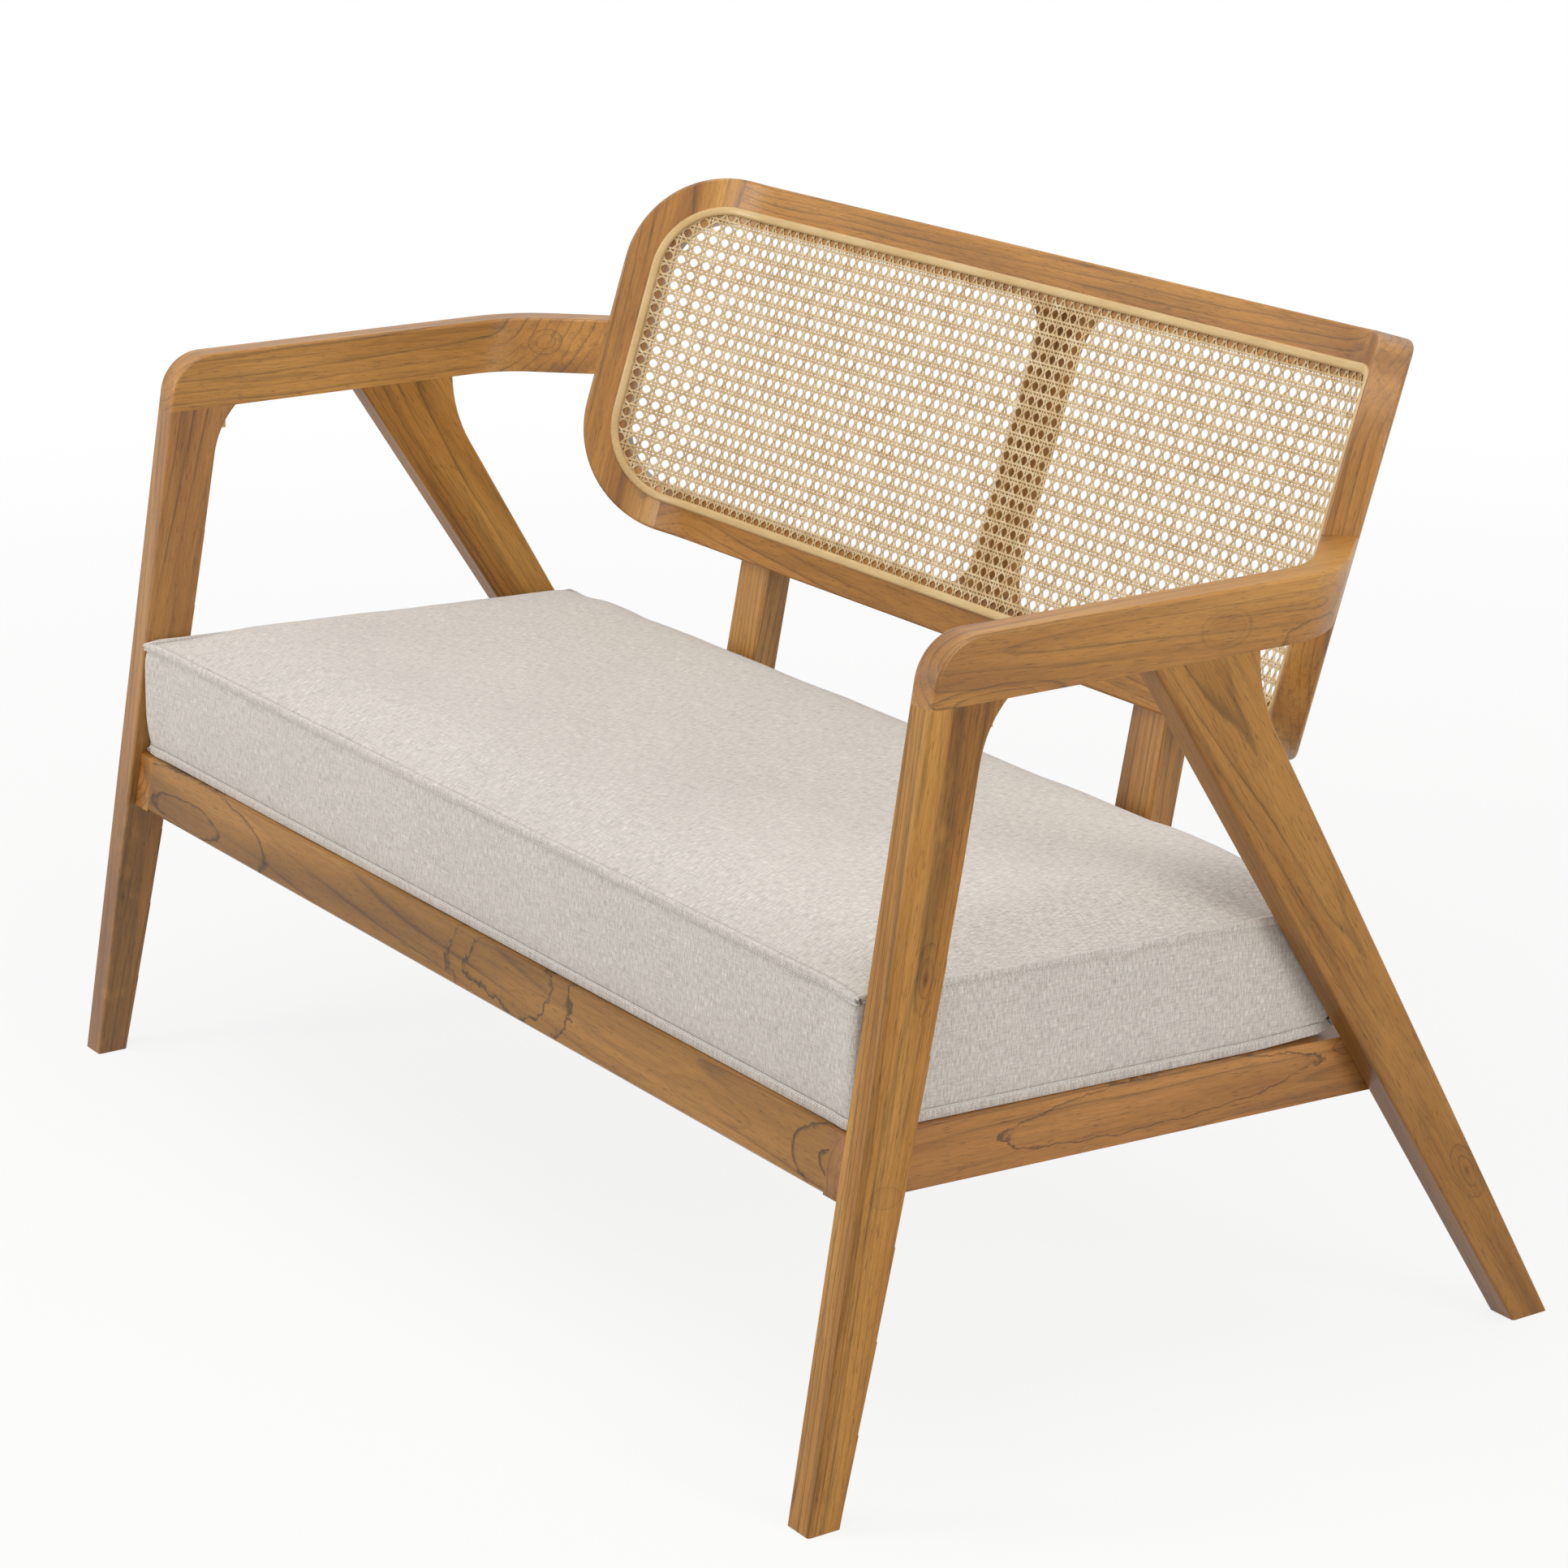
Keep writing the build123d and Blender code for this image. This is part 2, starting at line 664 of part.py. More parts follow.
# Every hole and mortise is cut by the piece that fills it


def both_sides(solids):
    return [*solids, *[other_side(s) for s in solids]]


front_tenon, rear_tenon = arm_tenons
front_block_screw, rear_block_screw = block_screws
lower_screw, upper_screw = brace_screws
front_leg_right -= [front_tenon, front_seat_tenon]
rear_leg_right -= [rear_tenon, *leg_bolts, *leg_inserts]
arm_right -= [front_tenon, rear_tenon, rim_tenon]
back_end_right -= [rim_tenon, *frame_tenons]
side_apron_right -= [front_seat_tenon, rear_seat_tenon, *leg_bolts, *cleat_screws, *block_screws]
slat_cleat_right -= [*cleat_screws, *slat_screws]
corner_block_front_right -= [front_block_screw, *slat_screws]
corner_block_rear_right -= [rear_block_screw, *slat_screws]
slats = [slat - both_sides([fixing]) for slat, fixing in zip(slats, slat_screws)]
front_apron -= both_sides([front_seat_tenon, front_block_screw])
rear_rail -= both_sides([rear_seat_tenon, lower_tenon, rear_block_screw])
back_bottom_rail -= [*both_sides([frame_tenons[0], upper_tenon]), lower_screw]
back_top_rail -= [*both_sides([frame_tenons[1]]), upper_screw]
back_brace -= brace_screws

pairs = {
    "front_leg": front_leg_right, "rear_leg": rear_leg_right, "arm": arm_right, "back_end": back_end_right,
    "back_post": back_post_right, "side_apron": side_apron_right, "slat_cleat": slat_cleat_right,
    "corner_block_front": corner_block_front_right, "corner_block_rear": corner_block_rear_right,
}
singles = {
    "back_top_rail": back_top_rail, "back_bottom_rail": back_bottom_rail, "cane_panel": cane_panel,
    "cane_spline": cane_spline, "back_brace": back_brace, "front_apron": front_apron, "rear_rail": rear_rail,
    "seat_support": seat_support, "cushion_cover": cushion_cover, "cushion_core": cushion_core,
    "zip_tape": zip_tape, "zip_slider": zip_slider, "zip_pull": zip_pull,
}
groups = {
    "arm_tenons": both_sides(arm_tenons), "rim_tenons": both_sides([rim_tenon]),
    "frame_tenons": both_sides(frame_tenons), "seat_tenons": both_sides(seat_tenons),
    "leg_bolts": both_sides(leg_bolts), "leg_inserts": both_sides(leg_inserts),
    "slat_screws": both_sides(slat_screws), "cleat_screws": both_sides(cleat_screws),
    "block_screws": both_sides(block_screws), "brace_screws": brace_screws,
}


def write(name, shape):
    shape.label = name
    export_step(shape, f"parts/{name}.step")


for name, shape in pairs.items():
    write(f"{name}_right", shape)
    write(f"{name}_left", other_side(shape))
for name, shape in singles.items():
    write(name, shape)
for number, slat in enumerate(slats, 1):
    write(f"seat_slat_{number}", slat)
for name, solids in groups.items():
    write(name, Compound(children=[s.solid() for s in solids]))
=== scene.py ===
import math
import bmesh
import bpy
from mathutils import Matrix, Vector, noise
from mathutils.bvhtree import BVHTree


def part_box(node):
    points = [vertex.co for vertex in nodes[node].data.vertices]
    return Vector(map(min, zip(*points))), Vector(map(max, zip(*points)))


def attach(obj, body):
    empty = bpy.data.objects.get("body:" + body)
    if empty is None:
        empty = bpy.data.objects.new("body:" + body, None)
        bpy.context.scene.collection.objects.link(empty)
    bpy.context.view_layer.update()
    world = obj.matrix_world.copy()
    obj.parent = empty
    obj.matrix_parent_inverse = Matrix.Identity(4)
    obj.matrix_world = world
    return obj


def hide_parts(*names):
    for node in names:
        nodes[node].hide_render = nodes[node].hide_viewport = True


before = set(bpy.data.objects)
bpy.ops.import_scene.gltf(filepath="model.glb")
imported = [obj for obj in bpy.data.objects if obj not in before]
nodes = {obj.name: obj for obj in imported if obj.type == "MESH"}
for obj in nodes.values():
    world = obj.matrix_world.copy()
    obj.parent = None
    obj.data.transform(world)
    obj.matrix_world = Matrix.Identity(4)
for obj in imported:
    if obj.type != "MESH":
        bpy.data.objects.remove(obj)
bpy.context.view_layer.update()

mm = 0.001
print("frame loaded:", len(nodes), "nodes")


def linearColour(hexCode):  # sRGB hex to the linear values that shaders take
    channels = [int(hexCode[i:i + 2], 16) / 255 for i in (1, 3, 5)]
    return tuple(c / 12.92 if c <= 0.04045 else ((c + 0.055) / 1.055) ** 2.4 for c in channels) + (1.0,)


def addNode(tree, kind, settings):  # a setting is a property, a socket's value, a link or colour stops
    node = tree.nodes.new(kind)
    for key, value in settings.items():
        if key == "stops":
            elements = node.color_ramp.elements
            while len(elements) < len(value):
                elements.new(0.5)
            for element, (place, tone) in zip(elements, value):
                element.position = place
                element.color = linearColour(tone) if isinstance(tone, str) else (tone, tone, tone, 1)
        elif isinstance(key, str) and key not in node.inputs:
            setattr(node, key, value)
        elif isinstance(value, bpy.types.NodeSocket):
            tree.links.new(value, node.inputs[key])
        else:
            node.inputs[key].default_value = value
    return node


def newMaterial(name, surface):
    material = bpy.data.materials.new(name)
    material.use_nodes = True
    tree = material.node_tree
    shader = tree.nodes["Principled BSDF"]
    for key, value in surface.items():
        shader.inputs[key].default_value = value
    return material, tree, shader


def grain(tree, place, perMetre, stops=None, **settings):  # cells a metre along each axis, toned by stops
    scaled = addNode(tree, "ShaderNodeVectorMath", {"operation": "MULTIPLY", 0: place, 1: perMetre})
    cells = addNode(tree, "ShaderNodeTexNoise", {"Scale": 1.0, "Vector": scaled.outputs[0], **settings})
    if stops is None:
        return cells.outputs["Fac"]
    toned = addNode(tree, "ShaderNodeValToRGB", {"Fac": cells.outputs["Fac"], "stops": stops})
    return toned.outputs["Color"]


def stained(tree, colour, stains):  # darkens a colour by each stain, in an amount or where a mask says
    for stain, amount in stains:
        colour = addNode(tree, "ShaderNodeMix", {"data_type": "RGBA", "blend_type": "MULTIPLY", 0: amount,
                                                 6: colour, 7: stain}).outputs[2]
    return colour


def gather(parts):  # one bmesh from (mesh, matrix) pairs
    bm = bmesh.new()
    for mesh, matrix in parts:
        placed = mesh.copy()
        placed.transform(matrix)
        bm.from_mesh(placed)
        bpy.data.meshes.remove(placed)
    return bm


def finish(mesh, name, body, material, replaced=()):  # a finished mesh becomes a piece on its body
    piece = bpy.data.objects.new(name, mesh)
    bpy.context.scene.collection.objects.link(piece)
    for polygon in mesh.polygons:
        polygon.use_smooth = True
    mesh.materials.clear()
    mesh.materials.append(material)
    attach(piece, body)
    if replaced:
        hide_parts(*replaced)
    return piece


# Camera at the photograph's angle, height and lens
camera = {
    "place": (2.9164, -1.9266, 1.4230),
    "azimuth": 56.203,
    "elevation": 17.021,
    "lens": 98.10,
    "sensor": 36,
    "farthest": 100,
}


def makeCamera(settings):
    data = bpy.data.cameras.new("photoCamera")
    data.lens = settings["lens"]
    data.sensor_width = settings["sensor"]
    data.clip_end = settings["farthest"]
    piece = bpy.data.objects.new("photoCamera", data)
    bpy.context.scene.collection.objects.link(piece)
    azimuth, elevation = (math.radians(settings[key]) for key in ("azimuth", "elevation"))
    piece.location = settings["place"]
    piece.rotation_euler = (math.pi / 2 - elevation, 0, azimuth)
    bpy.context.scene.camera = piece


makeCamera(camera)

# Soft studio, in metres and watts: a broad overhead light, a key from the front and one from the side,
# on a pale floor that turns white away from the object
studio = {
    "overhead": {"place": (0.3, -0.6, 3.2), "aim": (0, 0, 0.4), "size": 3.2, "power": 59},
    "key": {"place": (-1.4, -3.6, 1.8), "aim": (0, 0, 0.5), "size": 1.5, "power": 58},
    "side": {"place": (3.6, 0.6, 1.6), "aim": (0, 0, 0.5), "size": 1.6, "power": 46},
    "worldStrength": 0.37,
    "floorColour": "#DEDCD9",
    "floorSize": 40,
    "floorWhite": 0.86,          # how white the floor is to the eye under the object
    "shadowReach": (0.9, 3.2),   # how far out the floor's soft shadows start to fade and end
}


def seenDirectly(tree):  # 1 for rays that see a white studio, 0 for the light that it casts
    ray = addNode(tree, "ShaderNodeLightPath", {}).outputs
    seen = ray["Is Camera Ray"]
    for kind in ("Is Transmission Ray", "Is Glossy Ray"):
        seen = addNode(tree, "ShaderNodeMath", {"operation": "MAXIMUM", 0: seen, 1: ray[kind]}).outputs[0]
    return seen


def makeStudio(settings):
    scene = bpy.context.scene
    for name in ("overhead", "key", "side"):
        lamp = settings[name]
        data = bpy.data.lights.new(name, "AREA")
        data.energy = lamp["power"]
        data.shape = "DISK"
        data.size = lamp["size"]
        piece = bpy.data.objects.new(name, data)
        scene.collection.objects.link(piece)
        piece.location = lamp["place"]
        away = Vector(lamp["place"]) - Vector(lamp["aim"])
        piece.rotation_euler = away.to_track_quat("Z", "Y").to_euler()
    world = bpy.data.worlds.new("studioWorld")
    scene.world = world
    world.use_nodes = True
    tree = world.node_tree
    strength = addNode(tree, "ShaderNodeMapRange", {"To Min": settings["worldStrength"], "To Max": 1.0,
                                                    "Value": seenDirectly(tree)})
    background = tree.nodes["Background"]
    background.inputs["Color"].default_value = (1, 1, 1, 1)
    tree.links.new(strength.outputs[0], background.inputs["Strength"])

    material = bpy.data.materials.new("paintedFloor")
    material.use_nodes = True
    tree = material.node_tree
    tree.nodes.remove(tree.nodes["Principled BSDF"])
    spot = addNode(tree, "ShaderNodeTexCoord", {}).outputs["Object"]
    away = addNode(tree, "ShaderNodeVectorMath", {"operation": "LENGTH", 0: spot}).outputs["Value"]
    near, far = settings["shadowReach"]
    blend = addNode(tree, "ShaderNodeMapRange", {"From Min": near, "From Max": far, "To Max": 1.0,
                                                 "To Min": settings["floorWhite"], "Value": away}).outputs[0]
    share = addNode(tree, "ShaderNodeMath", {"operation": "MULTIPLY", 0: seenDirectly(tree), 1: blend})
    matt = addNode(tree, "ShaderNodeBsdfDiffuse", {"Color": linearColour(settings["floorColour"])})
    white = addNode(tree, "ShaderNodeEmission", {"Color": (1, 1, 1, 1), "Strength": 1.0})
    mixed = addNode(tree, "ShaderNodeMixShader", {0: share.outputs[0], 1: matt.outputs[0],
                                                  2: white.outputs[0]})
    tree.links.new(mixed.outputs[0], tree.nodes["Material Output"].inputs["Surface"])
    bm = bmesh.new()
    bmesh.ops.create_grid(bm, x_segments=1, y_segments=1, size=settings["floorSize"] / 2)
    mesh = bpy.data.meshes.new("studioFloor")
    bm.to_mesh(mesh)
    bm.free()
    mesh.materials.append(material)
    floor = bpy.data.objects.new("studioFloor", mesh)
    scene.collection.objects.link(floor)
    scene.view_settings.view_transform = "Standard"


makeStudio(studio)
print("camera and studio set")

# Back panel, in mm: the same bent and reclined board as the frame's, for what is laid on it
panel = {
    "width": 1220, "endSetback": 92.3, "bendRadius": 115.4, "bendAngle": 44, "endStraight": 57,
    "height": 341, "recline": 18.5, "front": 181.87, "base": 461.4, "cornerRadius": 100,
}
bendAngle = math.radians(panel["bendAngle"])
turnIn = panel["bendRadius"] * math.sin(bendAngle) + panel["endStraight"] * math.cos(bendAngle)
straight = panel["width"] / 2 - panel["endSetback"] - turnIn
halfPanel = straight + panel["bendRadius"] * bendAngle + panel["endStraight"]
toBack = Matrix.Translation((0, panel["front"] * mm, panel["base"] * mm)) @ Matrix.Rotation(
    -math.radians(panel["recline"]), 4, "X")


def onPanel(place, height, depth):  # the point for a place along the bent panel, up it and behind its face
    side = -1 if place < 0 else 1
    run = abs(place)
    if run <= straight:
        point = Vector((run, depth, height))
    else:
        angle = min((run - straight) / panel["bendRadius"], bendAngle)
        extra = max(run - straight - panel["bendRadius"] * bendAngle, 0)
        radius = panel["bendRadius"] + depth
        point = Vector((straight + radius * math.sin(angle) + extra * math.cos(bendAngle),
                        radius * math.cos(angle) - panel["bendRadius"] - extra * math.sin(bendAngle),
                        height))
    point.x *= side
    return toBack @ (point * mm)


def bendOnto(bm):  # bends a flat piece, drawn in mm about the panel's middle with Z behind its face
    for vertex in bm.verts:
        x, y, z = vertex.co
        vertex.co = onPanel(x, y + panel["height"] / 2, z)
    bmesh.ops.recalc_face_normals(bm, faces=bm.faces)


def outsideBy(x, y, inset):  # how far a flat point lies outside the panel's rounded outline, drawn in
    radius = panel["cornerRadius"] - inset
    dx = abs(x) - (halfPanel - inset - radius)
    dy = abs(y) - (panel["height"] / 2 - inset - radius)
    if dx > 0 and dy > 0:
        return math.hypot(dx, dy) - radius
    return max(dx, dy) - radius


# Cane web, in mm: six-way weave in peeled cane, pairs up and across locked by two diagonals
cane = {
    "pitch": 12.7,               # half inch from hole to hole
    "pairSpacing": 3.1, "width": 2.0, "diagonalWidth": 1.9, "thickness": 0.6,
    "pairWave": 0.33, "uprightWave": 0.3, "diagonalWave": 0.55, "middleDepth": 0.6, "edgeInset": 31.5,
    "samples": 4, "diagonalSamples": 6, "sides": 5,
    "skin": {"perMetre": (70, 70, 70), "stops": [(0.3, "#BC9D6C"), (0.5, "#CDB183"), (0.72, "#DAC49D")]},
    "specks": {"perMetre": (420, 420, 420), "stops": [(0.28, 0.8), (0.4, 1.0)]},      # 2.4 mm apart
}


def makeCaneMaterial(settings):
    # peeled cane: waxy straw skin, paler or browner from strand to strand, with small brown specks
    material, tree, shader = newMaterial("peeledCane", {"Roughness": 0.42, "IOR": 1.5})
    place = addNode(tree, "ShaderNodeTexCoord", {}).outputs["Object"]
    skin = grain(tree, place, **settings["skin"], Detail=2.0)
    specks = grain(tree, place, **settings["specks"], Detail=2.0)
    tree.links.new(stained(tree, skin, [(specks, 1.0)]), shader.inputs["Base Color"])
    return material


def makeStrand(length, step, width, turn, settings):  # one flat strand, its length turned from X by an angle
    bm = bmesh.new()
    bmesh.ops.create_circle(bm, segments=settings["sides"], radius=0.5)
    bmesh.ops.rotate(bm, verts=bm.verts, matrix=Matrix.Rotation(math.pi / 2, 3, "Y"))
    bmesh.ops.rotate(bm, verts=bm.verts, matrix=Matrix.Rotation(math.pi / 2, 3, "X"))
    bmesh.ops.scale(bm, verts=bm.verts, vec=(1, width, settings["thickness"]))
    bmesh.ops.translate(bm, verts=bm.verts, vec=(-length / 2, 0, 0))
    edges = bm.edges[:]
    for _ in range(round(length / step)):
        grown = bmesh.ops.extrude_edge_only(bm, edges=edges)["geom"]
        fresh = [item for item in grown if isinstance(item, bmesh.types.BMVert)]
        edges = [item for item in grown if isinstance(item, bmesh.types.BMEdge)]
        bmesh.ops.translate(bm, verts=fresh, vec=(step, 0, 0))
    bmesh.ops.rotate(bm, verts=bm.verts, matrix=Matrix.Rotation(turn, 3, "Z"))
    mesh = bpy.data.meshes.new("caneStrand")
    bm.to_mesh(mesh)
    bm.free()
    return mesh


def makeFamily(name, strand, offsets, wave, material, settings):
    # strands of one direction: copied to their offsets, trimmed to the outline, waved and bent
    bm = gather([(strand, Matrix.Translation(offset)) for offset in offsets])
    mesh = bpy.data.meshes.new(name)
    inset = settings["edgeInset"]
    away = [vertex for vertex in bm.verts if outsideBy(vertex.co.x, vertex.co.y, inset) > 0]
    bmesh.ops.delete(bm, geom=away, context="VERTS")
    for vertex in bm.verts:
        vertex.co.z += wave(vertex.co) + settings["middleDepth"]
    bmesh.ops.holes_fill(bm, edges=[edge for edge in bm.edges if edge.is_boundary], sides=settings["sides"])
    bendOnto(bm)
    bm.to_mesh(mesh)
    bm.free()
    return finish(mesh, name, "frame", material)


def makeCane(settings):
    material = makeCaneMaterial(settings)
    pitch = settings["pitch"]
    high, long = panel["height"] - 2 * settings["edgeInset"], 2 * (halfPanel - settings["edgeInset"])
    rows, columns = int(high / 2 / pitch) + 1, int(long / 2 / pitch) + 1
    turn = 2 * math.pi / pitch
    half = settings["pairSpacing"] / 2
    step = pitch / settings["samples"]

    def acrossWave(point):
        side = 1 if (point.y + pitch / 2) % pitch < pitch / 2 else -1
        return side * settings["pairWave"] * (1 + math.cos(turn * point.x)) / 2

    def uprightWave(point):
        return settings["uprightWave"] * math.sin(turn * point.y)

    strand = makeStrand(2 * columns * pitch, step, settings["width"], 0, settings)
    offsets = [(0, row * pitch + side * half, 0) for row in range(-rows, rows + 1) for side in (1, -1)]
    pieces = [makeFamily("caneAcross", strand, offsets, acrossWave, material, settings)]

    strand = makeStrand(2 * rows * pitch, step, settings["width"], math.pi / 2, settings)
    offsets = [(column * pitch + side * half, 0, 0)
               for column in range(-columns, columns + 1) for side in (1, -1)]
    pieces.append(makeFamily("caneUpright", strand, offsets, uprightWave, material, settings))

    reach = 2 * (rows + 1) * pitch * math.sqrt(2)
    step = pitch * math.sqrt(2) / settings["diagonalSamples"]
    count = columns + rows + 1
    offsets = [((index + 0.5) * pitch, 0, 0) for index in range(-count, count)]
    for name, side in (("caneRising", 1), ("caneFalling", -1)):
        def diagonalWave(point, side=side):
            return side * settings["diagonalWave"] * math.cos(turn * point.y)

        strand = makeStrand(reach, step, settings["diagonalWidth"], side * math.pi / 4, settings)
        pieces.append(makeFamily(name, strand, offsets, diagonalWave, material, settings))
    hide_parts("cane_panel")
    print("cane web woven:", sum(len(piece.data.polygons) for piece in pieces), "faces")


makeCane(cane)

# Spline, in mm: half-round rattan bead pressed into the groove over the cane
spline = {
    "inset": 27.0, "width": 8.0, "proud": 2.6, "sunk": 1.0, "cornerSteps": 14, "step": 7.0, "roundSteps": 5,
    "skin": {"perMetre": (14, 14, 30), "stops": [(0.3, "#C5A26E"), (0.5, "#CCAC78"), (0.7, "#D3B584")]},
    "lines": {"perMetre": (90, 500, 700), "stops": [(0.35, 0.92), (0.6, 1.0)]},
    "faceTolerance": 0.01,
}


def makeSpline(settings):
    # split rattan: pale tan, smooth and a little waxy, faint lines along it
    material, tree, shader = newMaterial("splitRattan", {"Roughness": 0.38, "IOR": 1.5})
    place = addNode(tree, "ShaderNodeTexCoord", {}).outputs["Object"]
    skin = grain(tree, place, **settings["skin"], Detail=3.0)
    lines = grain(tree, place, **settings["lines"], Detail=3.0)
    tree.links.new(stained(tree, skin, [(lines, 1.0)]), shader.inputs["Base Color"])
    bm = bmesh.new()
    bmesh.ops.create_grid(bm, x_segments=1, y_segments=1, size=0.5)
    wide = 2 * (halfPanel - settings["inset"])
    high = panel["height"] - 2 * settings["inset"]
    bmesh.ops.scale(bm, verts=bm.verts, vec=(wide, high, 1))
    bmesh.ops.bevel(bm, geom=bm.verts[:], offset=panel["cornerRadius"] - settings["inset"],
                    affect="VERTICES", segments=settings["cornerSteps"], profile=0.5, material=-1)
    for edge in [edge for edge in bm.edges if edge.calc_length() > 2 * settings["step"]]:
        bmesh.ops.subdivide_edges(bm, edges=[edge], cuts=int(edge.calc_length() / settings["step"]))
    inner = bm.faces[:]
    bmesh.ops.inset_region(bm, faces=inner, thickness=settings["width"], use_even_offset=True,
                           use_boundary=True)
    bmesh.ops.delete(bm, geom=inner, context="FACES")
    grown = bmesh.ops.extrude_face_region(bm, geom=bm.faces[:])["geom"]
    front = [item for item in grown if isinstance(item, bmesh.types.BMVert)]
    bmesh.ops.translate(bm, verts=front, vec=(0, 0, -(settings["proud"] + settings["sunk"])))
    bmesh.ops.translate(bm, verts=bm.verts, vec=(0, 0, settings["sunk"]))
    bmesh.ops.recalc_face_normals(bm, faces=bm.faces)
    level = -settings["proud"] + settings["faceTolerance"]
    rims = [edge for edge in bm.edges if all(vertex.co.z < level for vertex in edge.verts)
            and any(abs(face.normal.z) < 0.5 for face in edge.link_faces)]
    bmesh.ops.bevel(bm, geom=rims, offset=settings["proud"], affect="EDGES", segments=settings["roundSteps"],
                    profile=0.5, material=-1, clamp_overlap=True)
    bendOnto(bm)
    mesh = bpy.data.meshes.new("rattanSpline")
    bm.to_mesh(mesh)
    bm.free()
    finish(mesh, "rattanSpline", "frame", material, ["cane_spline"])
    print("spline laid:", len(mesh.polygons), "faces")


makeSpline(spline)

# Oiled teak: each board has its own grain direction, heart place in mm from its middle, and figure
teakLook = {
    "gloss": 0.3, "roughness": (0.33, 0.48), "heart": (55, 20), "seed": 0.0, "figures": (),
    "slope": (1.5, 2.0),         # how far the growth rings run askew of the board, in degrees
    "light": "#BD8942", "middle": "#A87331", "dark": "#815423",
    "ringPitch": 6.5, "ringWander": 9.0, "ringDetail": 0.22,
    "ringStretch": (0.16, 1, 1),      # the rings wander slowly along the board
    "ringTones": [(0.0, 0.86), (0.1, 1.0), (0.62, 0.98), (0.86, 0.84), (0.955, 0.5), (1.0, 0.62)],
    "ringFade": {"perMetre": (2.2, 26, 26), "stops": [(0.38, 0.12), (0.62, 1.0)]},
    "zones": (1.6, 19, 19),      # broad paler and darker zones, about 50 mm wide
    "streakDepth": 0.6,
    "streaks": {"perMetre": (1.6, 150, 150),
                "stops": [(0.36, 0.6), (0.47, 0.94), (0.54, 1.0), (0.68, 1.08)]},
    # fibres and pores drawn about 1 mm wide, coarser than the real 0.3 mm, so that they show in the render
    "fibres": {"perMetre": (26, 800, 800), "stops": [(0.3, 0.8), (0.5, 1.0), (0.7, 1.12)]},
    "pores": {"perMetre": (85, 1000, 1000), "stops": [(0.27, 0.45), (0.38, 1.0)]},
    "poreAmount": 0.7, "poreDepth": 0.2, "poreStrength": 0.35,
}
legHeight = 604
frontLean = math.atan2(103, legHeight)      # its foot stands 103 mm ahead of its top
rearLean = math.atan2(366, legHeight)       # its foot stands 366 mm behind its top
postLean = math.radians(11.5)
recline = math.radians(panel["recline"])
up = {
    "frontLeg": (0, math.sin(frontLean), math.cos(frontLean)),
    "rearLeg": (0, -math.sin(rearLean), math.cos(rearLean)),
    "post": (0, math.sin(postLean), math.cos(postLean)),
    "panel": (0, math.sin(recline), math.cos(recline)),
}
